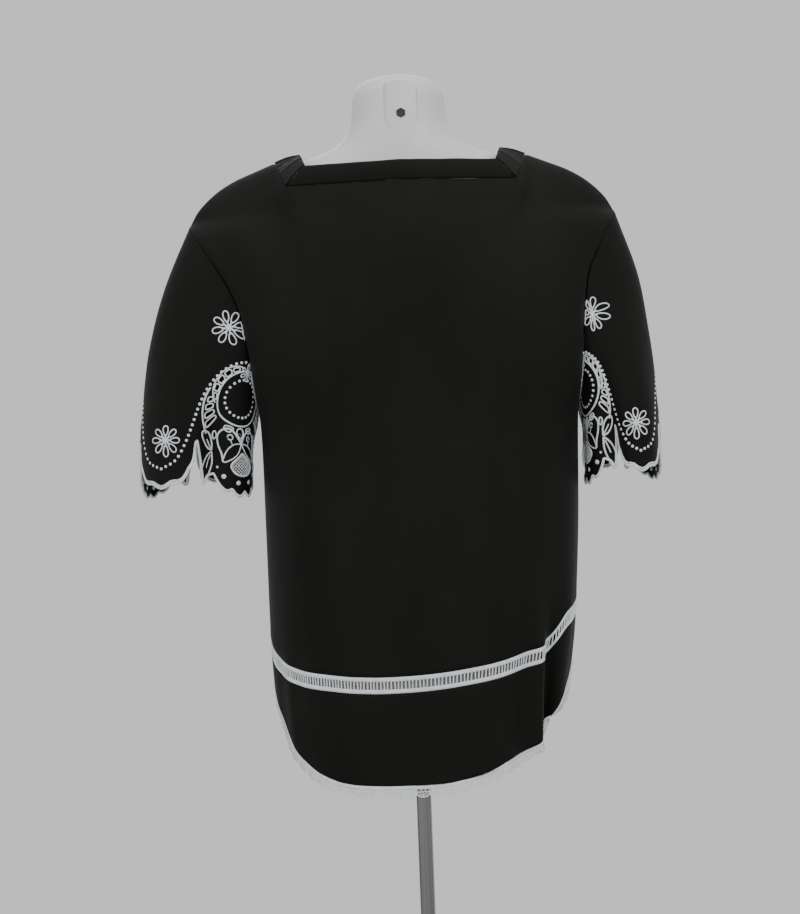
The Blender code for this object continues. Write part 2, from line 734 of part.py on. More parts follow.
def sheet_from_pattern(name, outline, holes, sign, look):
    """A wall cut from the sleeve's flat pattern, with its holes, bent to the sleeve's shape."""
    outline = refine(outline, 0.022)
    loops = [outline] + holes
    points, edges = [], []
    for loop in loops:
        base = len(points)
        points += loop
        edges += [(base + k, base + (k + 1) % len(loop)) for k in range(len(loop))]
    wide = [p[0] for p in outline]
    high = [p[1] for p in outline]
    step = 0.0175
    for i in range(int((max(wide) - min(wide)) / step) + 1):
        for j in range(int((max(high) - min(high)) / step) + 1):
            u = min(wide) + (i + 0.5) * step
            v = min(high) + (j + 0.5) * step
            if not inside(outline, u, v) or near(outline, u, v, step * 0.4):
                continue
            if any(inside(hole, u, v) or near(hole, u, v, step * 0.25) for hole in holes):
                continue
            points.append((u, v))
    flat = [Vector((u, v)) for u, v in points]
    result = delaunay_2d_cdt(flat, edges, [], 1, 1e-6)
    spots, triangles = result[0], result[2]
    kept = []
    for triangle in triangles:
        u = sum(spots[k].x for k in triangle) / 3
        v = sum(spots[k].y for k in triangle) / 3
        if inside(outline, u, v) and not any(inside(hole, u, v) for hole in holes):
            kept.append(tuple(triangle))
    used = sorted({k for triangle in kept for k in triangle})
    bm = bmesh.new()
    layers = []
    for way in (WALL / 2, -WALL / 2):
        layer = {}
        for k in used:
            u, v = spots[k].x, spots[k].y
            layer[k] = bm.verts.new(sleeve_at(sign, u, v) + sleeve_facing(sign, u, v) * way)
        layers.append(layer)
    sides = {}
    for a, b, c in kept:
        bm.faces.new((layers[0][a], layers[0][b], layers[0][c]))
        bm.faces.new((layers[1][c], layers[1][b], layers[1][a]))
        for one, two in ((a, b), (b, c), (c, a)):
            if (two, one) in sides:
                del sides[(two, one)]
            else:
                sides[(one, two)] = True
    for one, two in sides:
        bm.faces.new((layers[0][two], layers[0][one], layers[1][one], layers[1][two]))
    return add_object(name, bm, look)


def make_sleeves():
    """Each sleeve as a back half and a front half, with its cutwork cut through."""
    pitch = SLEEVE_ROUND / REPEATS
    holes = []
    for k in range(-1, REPEATS + 1):
        middle = TONGUE_MIDDLE + (k + 0.5) * pitch
        holes += [[(middle + a, b) for a, b in cell] for cell in panel_holes()]
    for hand, sign in (("left", 1), ("right", -1)):
        for end, turn_from in (("back", SPLIT), ("front", SPLIT + math.pi)):
            turn_to = turn_from + math.pi
            outline = sleeve_outline(sign, turn_from, turn_to)
            low = turn_from / (2 * math.pi) * SLEEVE_ROUND + 0.0022
            high = turn_to / (2 * math.pi) * SLEEVE_ROUND - 0.0022
            whole = [h for h in holes if all(low < p[0] < high for p in h)]
            sheet_from_pattern(f"sleeve_{hand}_{end}", outline, whole, sign, BLACK_CLOTH)


def make_form():
    """The limbless form as one closed body, with a flat pocket at the back of its neck."""
    bm = bmesh.new()
    count = 40
    rings = []
    for z, half, back, front in FORM:
        ring = []
        for k in range(count):
            turn = 2 * math.pi * k / count
            c, s = math.cos(turn), math.sin(turn)
            depth = back if s > 0 else front
            ring.append(bm.verts.new((half * c, depth * s, z)))
        rings.append(ring)
    for low, high in zip(rings, rings[1:]):
        for k in range(count):
            bm.faces.new((low[k], low[(k + 1) % count], high[(k + 1) % count], high[k]))
    bm.faces.new(rings[0][::-1])
    bm.faces.new(rings[-1])
    form = add_object("dress_form", bm, FORM_PLASTIC)
    pocket = bmesh.new()
    bmesh.ops.create_cube(pocket, size=1.0)
    bmesh.ops.scale(pocket, vec=(0.040, 0.02, 0.062), verts=pocket.verts[:])
    upright = [e for e in pocket.edges if abs(e.verts[0].co.y - e.verts[1].co.y) > 0.01]
    bmesh.ops.bevel(pocket, geom=upright, offset=0.012, segments=4, profile=0.5, affect="EDGES")
    bmesh.ops.translate(pocket, vec=(-0.003, 0.0537, 1.456), verts=pocket.verts[:])
    cutter = add_object("neck_pocket_cutter", pocket, FORM_PLASTIC, smooth=False)
    cutter.hide_render = True
    cutter.display_type = "WIRE"
    cut = form.modifiers.new("pocket", "BOOLEAN")
    cut.operation = "DIFFERENCE"
    cut.object = cutter


def turned(name, profile, look, count=32):
    """A round piece from a closed profile of radius and height, turned about the vertical."""
    bm = bmesh.new()
    rings = []
    for radius, z in profile:
        rings.append([bm.verts.new((radius * math.cos(2 * math.pi * k / count),
                                    radius * math.sin(2 * math.pi * k / count), z)) for k in range(count)])
    for low, high in zip(rings, rings[1:]):
        for k in range(count):
            bm.faces.new((low[k], low[(k + 1) % count], high[(k + 1) % count], high[k]))
    bm.faces.new(rings[0][::-1])
    bm.faces.new(rings[-1])
    return add_object(name, bm, look)


def make_stand():
    """The round base plate, the pole on it and the metal socket at the back of the neck."""
    edge = 0.003
    turned("base_plate", ((BASE_RADIUS - 0.001, 0.0), (BASE_RADIUS, 0.001),
                          (BASE_RADIUS, BASE_HEIGHT - edge), (BASE_RADIUS - edge, BASE_HEIGHT)), BASE_METAL, 64)
    turned("pole", ((POLE_RADIUS, BASE_HEIGHT + SEAT), (POLE_RADIUS, FORM_BOTTOM - SEAT)), CHROME, 32)
    bm = bmesh.new()
    count = 24
    rings = []
    for radius, y in ((0.0055, 0.0440), (0.0089, 0.0440), (0.0089, 0.0457), (0.0082, 0.0465), (0.0055, 0.0465)):
        rings.append([bm.verts.new((-0.003 + radius * math.cos(2 * math.pi * k / count), y,
                                    1.445 + radius * math.sin(2 * math.pi * k / count))) for k in range(count)])
    for a in range(len(rings)):
        low, high = rings[a], rings[(a + 1) % len(rings)]
        for k in range(count):
            bm.faces.new((low[k], low[(k + 1) % count], high[(k + 1) % count], high[k]))
    add_object("neck_socket", bm, CHROME)


def main():
    clear_scene()
    make_body_panels()
    make_lower_strips()
    make_neckbands()
    make_sleeves()
    make_form()
    make_stand()


main()
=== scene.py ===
"""A drop-shoulder tunic blouse with cutwork sleeves on a dress form stand, dressed for rendering.

Metres, +Z up. The blouse's front faces -Y, and the camera looks at its back.
"""
from bisect import bisect_left
import math

import bmesh
import bpy
from mathutils import Matrix, Vector, noise


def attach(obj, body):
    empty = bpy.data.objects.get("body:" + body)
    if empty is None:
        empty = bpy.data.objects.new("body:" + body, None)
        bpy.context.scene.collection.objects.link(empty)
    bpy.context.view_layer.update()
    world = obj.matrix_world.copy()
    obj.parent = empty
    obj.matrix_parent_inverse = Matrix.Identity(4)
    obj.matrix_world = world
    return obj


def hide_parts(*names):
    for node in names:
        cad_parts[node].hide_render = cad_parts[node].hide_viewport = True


bl_info = {
    "name": "Tunic blouse on a dress form",
    "version": (1, 0, 0),
    "blender": (4, 5, 0),
    "location": "View3D > Sidebar > Blouse",
    "description": "Dresses the packed blouse: cloth, neckbands, trims, cutwork sleeves, form and stand",
    "category": "Object",
}

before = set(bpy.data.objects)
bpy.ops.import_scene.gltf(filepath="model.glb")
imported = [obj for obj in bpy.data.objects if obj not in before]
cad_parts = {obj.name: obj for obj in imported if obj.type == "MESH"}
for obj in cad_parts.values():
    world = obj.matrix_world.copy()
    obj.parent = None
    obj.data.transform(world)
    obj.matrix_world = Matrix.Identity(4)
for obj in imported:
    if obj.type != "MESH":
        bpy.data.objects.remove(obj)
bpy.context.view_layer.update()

GAP = 0.0005            # space between two pieces that are sewn together
REACH = 0.9985          # share of a row that the cloth covers, short of its side seams
TRIM_REACH = 0.998      # the same for the trims

SHOULDER_Z = 1.324      # top of the armhole seam
UNDERARM_Z = 1.100      # bottom of the armhole seam
ARM_DEPTH = 0.066       # half of the armhole, front to back

TRIM_WIDTH = 0.019      # height of the ladder trim
LADDER_EDGE = 0.0046    # width of the ladder trim's solid edges
LACE_HEADER = 0.0040    # width of the hem lace's solid edge

SLEEVE_ROUND = 0.432    # length of the sleeve's edge, laid flat
TONGUE = 0.098          # width of a plain tongue along the edge
CUTWORK = 0.118         # width of a cutwork panel along the edge
REPEATS = 2             # a tongue and a cutwork panel, twice round each sleeve
TONGUE_MIDDLE = 0.072   # the first tongue's middle, round from the sleeve's outside
RING = 0.033            # radius of the cutwork's ring
RING_HEIGHT = 0.106     # the ring's middle above the edge
BAR = 0.0019            # width of a bar between two openings
NOTCH = 0.0545          # height of the notch between a tongue and a cutwork panel
CLOTH_STEP = 0.0048     # size of the flat pattern's divisions

FORM_SIDES = 120        # points round the dress form
SOCKET_SIDES = 48       # points round the metal socket
POCKET_SIZE = (0.040, 0.02, 0.062)
POCKET_AT = (-0.003, 0.0537, 1.456)
SOCKET_AT = (-0.003, 0.0441, 1.445)
HEXAGON = 0.0060        # reach of the socket's hexagonal hole to its corners

CAMERA_AT = (0.0132, 2.3, 1.04)
CAMERA_ROLL = math.radians(-2.16)
LENS = 75.5             # focal length in millimetres, on a 36 mm sensor

# height, left half width, right half width, back depth, front depth
BODY = (
    (0.64, 0.158, 0.162, 0.098, 0.104), (0.7, 0.167, 0.17, 0.103, 0.11),
    (0.76, 0.172, 0.178, 0.108, 0.115), (0.83, 0.1755, 0.188, 0.112, 0.12),
    (0.95, 0.1765, 0.197, 0.117, 0.128), (1.07, 0.1775, 0.201, 0.12, 0.138),
    (1.138, 0.182, 0.204, 0.12, 0.142), (1.18, 0.187, 0.206, 0.119, 0.14),
    (1.214, 0.193, 0.209, 0.117, 0.137), (1.25, 0.208, 0.215, 0.113, 0.13),
    (1.275, 0.224, 0.227, 0.109, 0.124), (1.3, 0.24, 0.24, 0.103, 0.116),
    (1.324, 0.254, 0.254, 0.096, 0.107), (1.42, 0.254, 0.254, 0.07, 0.08),
)

# share of the half row, then x, y, z of the body's top edge at the shoulder
SHOULDER = (
    (0.402, 0.1485, 0.0013, 1.3975), (0.48, 0.176, 0.0013, 1.3865), (0.576, 0.2, 0.0013, 1.3765),
    (0.68, 0.222, 0.0013, 1.363), (0.82, 0.242, 0.0013, 1.344), (1.0, 0.254, 0.0016, 1.324),
)

# the same along the neck and shoulder of the back and of the front
BACK_TOP = (
    (0.0, 0.0, 0.074, 1.362), (0.366, 0.131, 0.063, 1.36), (0.384, 0.141, 0.04, 1.378),
    *SHOULDER,
)

FRONT_TOP = (
    (0.0, 0.0, 0.118, 1.268), (0.33, 0.126, 0.106, 1.272), (0.366, 0.136, 0.085, 1.325),
    (0.384, 0.143, 0.05, 1.368),
    *SHOULDER,
)

# share of the row from right to left, height of the ladder trim's upper edge
TRIM_TOP = (
    (-1.0, 0.87), (-0.86, 0.86), (-0.73, 0.85), (-0.63, 0.823), (-0.4, 0.805), (-0.2, 0.7955),
    (0.0, 0.79), (0.2, 0.7885), (0.38, 0.791), (0.62, 0.799), (0.8, 0.813), (1.0, 0.84),
)

# share of the row from the right side seam to the left one, height of the hem above its lowest point
HEM_RISE = (
    (-1.0, 0.136), (-0.86, 0.108), (-0.77, 0.085), (-0.66, 0.053), (-0.55, 0.036), (-0.4, 0.022),
    (-0.26, 0.009), (-0.08, 0.001), (0.2, 0.0), (0.38, 0.003), (0.52, 0.015), (0.64, 0.034),
    (0.74, 0.06), (0.83, 0.086), (1.0, 0.122),
)
HEM_LOW = 0.662         # height of the hem's lowest point

# height at the top and the bottom of a fold, share of the row there, width, depth there
BACK_FOLDS = (
    (1.05, -0.52, 0.66, -0.69, 0.056, 0.0, -0.02), (1.3, -0.35, 0.66, -0.61, 0.05, 0.001, 0.008),
    (1.3, -0.36, 0.8, -0.48, 0.07, -0.001, -0.006), (1.1, -0.76, 0.66, -0.83, 0.07, 0.0, 0.003),
    (1.3, 0.72, 0.7, 0.66, 0.06, -0.005, 0.004), (1.3, 0.58, 0.7, 0.5, 0.08, 0.003, 0.003),
)
FRONT_FOLDS = (
    (1.24, -0.45, 0.66, -0.52, 0.06, 0.003, 0.009), (1.24, -0.2, 0.66, -0.24, 0.07, 0.002, -0.006),
    (1.24, 0.3, 0.66, 0.36, 0.07, 0.002, -0.008), (1.24, 0.52, 0.66, 0.58, 0.06, 0.003, 0.009),
)

# share down the sleeve, outer x, outer z, inner x, inner z, middle y, half depth
SLEEVE_LEFT = (
    (0.0, 0.254, 1.324, 0.1787, 1.1, 0.0, 0.066), (0.25, 0.288, 1.25, 0.184, 1.078, -0.002, 0.067),
    (0.48, 0.31, 1.179, 0.187, 1.058, -0.006, 0.065),
    (0.67, 0.32, 1.119, 0.188, 1.042, -0.012, 0.063),
    (0.82, 0.3255, 1.071, 0.1885, 1.026, -0.016, 0.062),
    (1.0, 0.327, 1.0, 0.189, 0.998, -0.02, 0.061),
)
SLEEVE_RIGHT = (
    (0.0, 0.254, 1.324, 0.2035, 1.1, 0.0, 0.066), (0.25, 0.279, 1.25, 0.207, 1.078, -0.004, 0.068),
    (0.48, 0.291, 1.179, 0.209, 1.058, -0.01, 0.07),
    (0.67, 0.297, 1.119, 0.209, 1.042, -0.016, 0.071),
    (0.82, 0.3, 1.071, 0.208, 1.026, -0.02, 0.071), (1.0, 0.302, 1.0, 0.207, 0.998, -0.024, 0.071),
)

# turn round the sleeve in degrees (0 outside, 90 back, 180 inside), width in degrees, depth at the edge
SLEEVE_FOLDS = (
    (60.0, 26.0, 0.006), (104.0, 10.0, -0.015), (138.0, 20.0, 0.008), (185.0, 14.0, -0.01),
    (236.0, 24.0, 0.006), (276.0, 12.0, -0.012), (322.0, 22.0, 0.006),
)

# a cutwork panel's cut edge, from its notch to its middle: across from the middle, up from the edge
PANEL_EDGE = (
    (0.0575, 0.046), (0.054, 0.032), (0.05, 0.013), (0.042, 0.0185), (0.0335, 0.02),
)
# a tongue's cut edge, from its notch to its middle
TONGUE_EDGE = (
    (0.0465, 0.048), (0.044, 0.033), (0.037, 0.0215), (0.02, 0.0125), (0.0, 0.0095),
)

# height, half width, back depth, front depth
FORM = (
    (0.76, 0.128, 0.086, 0.088), (0.763, 0.138, 0.092, 0.094), (0.775, 0.142, 0.096, 0.098),
    (0.86, 0.15, 0.1, 0.104), (0.95, 0.146, 0.096, 0.1), (1.05, 0.126, 0.084, 0.09),
    (1.12, 0.126, 0.084, 0.098), (1.2, 0.142, 0.092, 0.116), (1.26, 0.16, 0.095, 0.116),
    (1.31, 0.176, 0.088, 0.098), (1.345, 0.188, 0.074, 0.08), (1.363, 0.185, 0.064, 0.068),
    (1.377, 0.169, 0.057, 0.062), (1.387, 0.146, 0.053, 0.058), (1.395, 0.123, 0.051, 0.056),
    (1.403, 0.1, 0.05, 0.055), (1.4115, 0.08, 0.0495, 0.054), (1.427, 0.064, 0.049, 0.053),
    (1.446, 0.0575, 0.049, 0.053), (1.465, 0.056, 0.05, 0.053), (1.474, 0.0545, 0.049, 0.0515),
    (1.482, 0.05, 0.045, 0.047), (1.489, 0.041, 0.037, 0.0385), (1.4945, 0.025, 0.023, 0.024),
    (1.497, 0.008, 0.0075, 0.0078),
)


def table(rows, at):
    """The row of a table at a value of its first column, read along a smooth curve."""
    if at <= rows[0][0]:
        return rows[0][1:]
    if at >= rows[-1][0]:
        return rows[-1][1:]
    i = 1
    while rows[i][0] < at:
        i += 1
    low, high = rows[i - 1], rows[i]
    t = (at - low[0]) / (high[0] - low[0])
    before = rows[max(i - 2, 0)]
    after = rows[min(i + 1, len(rows) - 1)]
    run = high[0] - low[0]
    values = []
    for k in range(1, len(low)):
        step = high[k] - low[k]
        slope0 = limited((high[k] - before[k]) / (high[0] - before[0]) * run, step)
        slope1 = limited((after[k] - low[k]) / (after[0] - low[0]) * run, step)
        bend = t * (1 - t) * ((1 - t) * slope0 - t * slope1)
        values.append(low[k] + t * t * (3 - 2 * t) * step + bend)
    return values


def limited(slope, step):
    """A slope that keeps the curve between its two points."""
    if slope * step <= 0:
        return 0.0
    return math.copysign(min(abs(slope), 3 * abs(step)), step)


def straight(rows, at):
    """The row of a table at a value of its first column, read along straight lines."""
    if at <= rows[0][0]:
        return rows[0][1:]
    for low, high in zip(rows, rows[1:]):
        if at <= high[0]:
            t = (at - low[0]) / (high[0] - low[0])
            return [a + (b - a) * t for a, b in zip(low[1:], high[1:])]
    return rows[-1][1:]


def smooth_step(t):
    """0 below 0 and 1 above 1, with a smooth rise between them."""
    t = min(max(t, 0.0), 1.0)
    return t * t * (3 - 2 * t)


def trim_top(s):
    """Height of the ladder trim's upper edge across a row."""
    return table(TRIM_TOP, s)[0]


def hem_edge(s):
    """Height of the hem across a row."""
    return HEM_LOW + table(HEM_RISE, s)[0]


def armhole_depth(z):
    """How far the armhole's edge lies from the middle plane at a height."""
    part = (2 * z - SHOULDER_Z - UNDERARM_Z) / (SHOULDER_Z - UNDERARM_Z)
    return ARM_DEPTH * math.sqrt(max(1 - part * part, 0.0))


def fold_depth(folds, s, z):
    """How far the folds push the cloth outwards."""
    total = 0.0
    for z_top, s_top, z_low, s_low, width, depth_top, depth_low in folds:
        t = min(max((z_top - z) / (z_top - z_low), 0.0), 1.0)
        middle = s_top + (s_low - s_top) * t
        depth = depth_top + (depth_low - depth_top) * t
        total += depth * math.exp(-((s - middle) / width) ** 2)
    return total * smooth_step((1 - abs(s)) / 0.15)


def round_body(side, s, z):
    """A point of the body's round surface: side 1 is the back and -1 the front, s runs from -1 to 1."""
    left, right, back, front = table(BODY, z)
    half = left if s > 0 else right
    depth = back if side > 0 else front
    edge = armhole_depth(z)
    turn = math.pi / 2 * s
    across = math.sin(turn)
    out = math.cos(turn) ** 0.86 if abs(s) < 1 else 0.0
    folds = BACK_FOLDS if side > 0 else FRONT_FOLDS
    push = fold_depth(folds, s, z)
    middle = (left - right) / 2 * (1 - across * across) * (1 - smooth_step((z - 1.1) / 0.2))
    x = half * across + middle * 0.5
    y = max(edge + (depth - edge) * out, 0.0012 if z > UNDERARM_Z else 0.0)
    return Vector((x + push * across * 0.6, side * (y + push), z))


def top_edge(rows, s):
    """The body's upper edge: straight lines round the neck and a smooth shoulder."""
    shoulder = [row for row in rows if row[0] > 0.4]
    if s <= shoulder[0][0]:
        return straight(rows, s)
    return table(shoulder, s)


def panel_point(side, s, w):
    """A point of the back or front piece: w is 0 at the ladder trim and 1 at the shoulder and neck."""
    x, y, z = top_edge(BACK_TOP if side > 0 else FRONT_TOP, abs(s))
    low = trim_top(s) + GAP / 2
    height = low + (z - low) * w
    spot = round_body(side, s, height)
    end = round_body(side, s, z)
    top = Vector((math.copysign(x, s), side * y, z))
    if s == 0:
        top.x = 0.0
    share = smooth_step((w - 0.55) / 0.45)
    t = min(max((w - 0.5) / 0.5, 0.0), 1.0)
    round_off = 1 - math.sqrt(1 - t ** 2.4)
    change = top - end
    return spot + Vector((change.x * share, change.y * round_off, 0))


# the inner edge of a shoulder's band, from the back corner over the top to the front corner: x, y, z
BAND_INNER = (
    (0.112, 0.059, 1.386), (0.1165, 0.036, 1.3985), (0.1195, 0.0, 1.405), (0.119, -0.038, 1.393),
    (0.114, -0.066, 1.356), (0.106, -0.0985, 1.2955),
)


def run_of(points):
    """The length of a line from its start to each of its points."""
    lengths = [0.0]
    for a, b in zip(points, points[1:]):
        lengths.append(lengths[-1] + math.dist(a, b))
    return lengths


def place_at(points, lengths, at):
    """The point at a length along a line."""
    i = min(bisect_left(lengths, at, 1), len(points) - 1) - 1
    t = (at - lengths[i]) / max(lengths[i + 1] - lengths[i], 1e-9)
    return tuple(a + (b - a) * t for a, b in zip(points[i], points[i + 1]))


def along(points, u):
    """A point at a share of a line's length."""
    lengths = run_of(points)
    return Vector(place_at(points, lengths, u * lengths[-1]))


def sleeve_point(sign, turn, down):
    """A point of a sleeve: turn 0 is its outside and a quarter turn its back, down is 0 at the seam."""
    rows = SLEEVE_LEFT if sign > 0 else SLEEVE_RIGHT
    out_x, out_z, in_x, in_z, middle, depth = table(rows, down)
    c, s = math.cos(turn), math.sin(turn)
    x = (out_x + in_x) / 2 + (out_x - in_x) / 2 * c
    z = (out_z + in_z) / 2 + (out_z - in_z) / 2 * c
    y = middle + depth * s
    seam_x = (rows[0][1] + rows[0][3]) / 2 + (rows[0][1] - rows[0][3]) / 2 * c
    seam_z = (SHOULDER_Z + UNDERARM_Z) / 2 + (SHOULDER_Z - UNDERARM_Z) / 2 * c
    body_x = table(BODY, seam_z)[0 if sign > 0 else 1]
    x += (body_x - seam_x) * (1 - smooth_step(down))
    push = 0.0
    degrees = math.degrees(turn) % 360
    for at, width, deep in SLEEVE_FOLDS:
        away = (degrees - at + 180) % 360 - 180
        push += deep * math.exp(-(away / width) ** 2)
    push *= smooth_step((down - 0.12) / 0.75)
    x += 0.0018 * smooth_step((0.9 - c) / 0.6) * (1 - smooth_step(down * 4))
    return Vector((sign * (x + push * c), y + push * s, z))


def sleeve_length(turn):
    """How long the sleeve is along a turn, from its seam to its edge."""
    c = math.cos(turn)
    return 0.216 + 0.114 * c - 0.012 * math.sin(turn)


def pattern_turn(sign, u, v):
    """How far round the sleeve a place of its flat pattern lies: the pattern leans outwards near the body."""
    around = u % SLEEVE_ROUND
    inner = smooth_step((around - 0.06) / 0.10) * smooth_step((0.29 - around) / 0.09)
    if sign > 0:
        shift = -inner * (0.012 + 0.023 * smooth_step(v / 0.16))
    else:
        near_tongue = (u + 0.02) % SLEEVE_ROUND
        outer = smooth_step(near_tongue / 0.07) * smooth_step((0.17 - near_tongue) / 0.07)
        shift = 0.014 * outer - inner * 0.022 * smooth_step((v - 0.04) / 0.12)
    return 2 * math.pi * (u + shift) / SLEEVE_ROUND


def pattern_top(sign, u):
    """How high the flat pattern reaches at its seam with the body."""
    v = 0.2
    for _ in range(14):
        v = sleeve_length(pattern_turn(sign, u, v))
    return v


def sleeve_at(sign, u, v):
    """The sleeve's point for its flat pattern: u runs round from its outside, v up from its edge."""
    turn = pattern_turn(sign, u, v)
    down = 1 - v / sleeve_length(turn)
    return sleeve_point(sign, turn, down)


def mirrored(line):
    """A flat line on the other side of its motif's middle."""
    return [(-a, b) for a, b in line]


def scallops(reach, rise, low, bumps, deep, steps=4):
    """A scalloped edge from -reach to reach, lowest in the middle, as points across and up."""
    points = []
    for k in range(bumps * steps + 1):
        t = k / (bumps * steps)
        across = reach * (2 * t - 1)
        base = low + rise * abs(2 * t - 1) ** 2.2
        points.append((across, base + deep - deep * abs(math.sin(math.pi * bumps * t)) ** 0.8))
    return points


def panel_edge():
    """One cutwork panel's edge: a leaf's tip at each side and four scallops between them."""
    left = mirrored(PANEL_EDGE)
    return left + scallops(0.0315, 0.0115, 0.0, 4, 0.0042) + mirrored(left[::-1])


def tongue_edge():
    """One tongue's edge: five scallops along a round lobe."""
    reach = TONGUE_EDGE[0][0]
    rows = sorted(TONGUE_EDGE)
    points = []
    steps = 24
    for k in range(steps + 1):
        t = 2 * k / steps - 1
        across = reach * math.sin(t * math.pi / 2)
        base = table(rows, abs(across))[0]
        bump = 0.0040 * abs(math.sin(math.pi * 2.5 * (t + 1))) * (1 - t ** 4) - 0.0040
        points.append((across, base - bump))
    return points


def edge_run(first, repeats):
    """The cut edge of a run of repeats, starting with the tongue whose middle is at first."""
    pitch = SLEEVE_ROUND / REPEATS
    points = []
    for k in range(repeats):
        middle = first + k * pitch
        points += [(middle + a, b) for a, b in tongue_edge()]
        points.append((middle + TONGUE / 2 - GAP, NOTCH))
        middle += pitch / 2
        points += [(middle + a, b) for a, b in panel_edge()]
        points.append((middle + CUTWORK / 2 + GAP, NOTCH))
    return points


def round_ring(reach, turn):
    """A flat place at a reach and a turn from the middle of a panel's ring."""
    return reach * math.cos(turn), RING_HEIGHT + reach * math.sin(turn)


def ring_cells(start, end, count, inner, outer):
    """The openings between two curves round the ring, which are given as radii along the turn."""
    cells = []
    for k in range(count):
        t0, t1 = k / count, (k + 1) / count
        turns = [math.radians(start + (end - start) * t) for t in (t0, (t0 + t1) / 2, t1)]
        low = [inner((t0 + t1) / 2) + BAR / 2] * 3
        high = [outer(t) - BAR / 2 for t in (t0 * 0.8 + t1 * 0.2, (t0 + t1) / 2, t0 * 0.2 + t1 * 0.8)]
        slip = BAR / 2 / low[0]
        way = 1 if end > start else -1
        turns[0] += slip * way
        turns[2] -= slip * way
        corners = list(zip(low, turns)) + list(zip(high, turns))[::-1]
        cell = [round_ring(*corner) for corner in corners]
        if min(b - a for a, b in zip(low, high)) > 0.0035:
            cells.append(cell)
    return cells


def panel_holes():
    """The cut-out openings of one cutwork panel, across from its middle and up from the edge."""
    half = ring_cells(72, -6, 5, lambda t: RING + 0.0004,
                      lambda t: RING + 0.0004 + 0.0105 * math.sin(math.pi * (0.12 + 0.76 * t)) ** 0.7)
    half += ring_cells(2, -40, 4, lambda t: 0.0385 - 0.001 * t, lambda t: 0.0465 + 0.0150 * t)
    half.append([(0.0085, 0.0690), (0.0150, 0.0640), (0.0215, 0.0690), (0.0200, 0.0740), (0.0105, 0.0715)])
    half.append([(0.0285, 0.0600), (0.0335, 0.0555), (0.0360, 0.0640), (0.0310, 0.0680)])
    whole = half + [mirrored(cell[::-1]) for cell in half]
    whole.append([(0.0, 0.0560), (0.0058, 0.0635), (0.0040, 0.0705), (-0.0040, 0.0705), (-0.0058, 0.0635)])
    return whole


class BlouseSizes(bpy.types.PropertyGroup):
    """Sizes of the cloth and its trimmings."""
    wall: bpy.props.FloatProperty(
        name="Cloth thickness", description="Thickness of the black cloth",
        default=0.0011, unit="LENGTH")
    cord: bpy.props.FloatProperty(
        name="Cord", description="Radius of the satin-stitched lines",
        default=0.00105, unit="LENGTH")
    edge_cord: bpy.props.FloatProperty(
        name="Edge cord", description="Radius of the stitching along the cut edges",
        default=0.0017, unit="LENGTH")
    dot: bpy.props.FloatProperty(
        name="Dot", description="Radius of a dot in the dotted lines",
        default=0.0020, unit="LENGTH")
    big_dot: bpy.props.FloatProperty(
        name="Scallop dot", description="Radius of the dot in each scallop",
        default=0.0031, unit="LENGTH")
    petal: bpy.props.FloatProperty(
        name="Daisy", description="Length of a daisy's petal from its middle",
        default=0.0205, unit="LENGTH")
    ladder_pitch: bpy.props.FloatProperty(
        name="Ladder pitch", description="Space from bar to bar in the ladder trim",
        default=0.0038, unit="LENGTH")
    lace_pitch: bpy.props.FloatProperty(
        name="Lace pitch", description="Width of one loop of the hem lace",
        default=0.0145, unit="LENGTH")


class BlouseColours(bpy.types.PropertyGroup):
    """Colours of the cloth, thread, form and stand."""
    cloth: bpy.props.FloatVectorProperty(
        name="Cloth", description="Black woven cloth", subtype="COLOR", size=3, min=0, max=1,
        default=(0.0050, 0.0049, 0.0041))
    thread: bpy.props.FloatVectorProperty(
        name="Thread", description="White embroidery, trim and lace", subtype="COLOR", size=3, min=0, max=1,
        default=(0.66, 0.70, 0.72))
    form: bpy.props.FloatVectorProperty(
        name="Form", description="Pale plastic of the dress form", subtype="COLOR", size=3, min=0, max=1,
        default=(0.60, 0.59, 0.60))
    metal: bpy.props.FloatVectorProperty(
        name="Metal", description="Polished pole and socket", subtype="COLOR", size=3, min=0, max=1,
        default=(0.62, 0.62, 0.63))
    floor: bpy.props.FloatVectorProperty(
        name="Floor", description="Pale studio floor", subtype="COLOR", size=3, min=0, max=1,
        default=(0.62, 0.62, 0.63))


def wire(look, node, **values):
    """Sets a node's inputs, named with _ for each space; one that is given a socket is linked to it."""
    for name, value in values.items():
        socket = node.inputs[name.replace("_", " ")]
        if isinstance(value, bpy.types.NodeSocket):
            look.node_tree.links.new(value, socket)
        else:
            socket.default_value = value
    return node


def add_node(look, kind, **values):
    """Adds a node to a material, with its inputs set or linked."""
    return wire(look, look.node_tree.nodes.new("ShaderNode" + kind), **values)


def shader_of(name, colour, rough, metal=0.0, **values):
    """A new material and its shader."""
    look = bpy.data.materials.new(name)
    look.use_nodes = True
    shader = look.node_tree.nodes["Principled BSDF"]
    wire(look, shader, Base_Color=(*colour, 1.0), Roughness=rough, Metallic=metal, **values)
    return look, shader


def noise_at(look, scale, detail=3.0, stretch=(1, 1, 1)):
    """A noise texture over a piece, stretched along its axes."""
    coord = add_node(look, "TexCoord")
    place = add_node(look, "Mapping", Vector=coord.outputs["Object"], Scale=stretch)
    cloud = add_node(look, "TexNoise", Vector=place.outputs["Vector"], Scale=scale, Detail=detail)
    return cloud.outputs["Fac"]


def tinted(look, shader, fac, colour, low, high):
    """The base colour, darker and lighter by a pattern."""
    ramp = add_node(look, "ValToRGB", Fac=fac)
    for element, place, share in zip(ramp.color_ramp.elements, (0.3, 0.7), (low, high)):
        element.position = place
        element.color = (*[min(c * share, 1) for c in colour], 1)
    wire(look, shader, Base_Color=ramp.outputs["Color"])


def bumped(look, shader, height, depth, strength):
    """A bump of the given depth in metres."""
    bump = add_node(look, "Bump", Height=height, Distance=depth, Strength=strength)
    wire(look, shader, Normal=bump.outputs["Normal"])


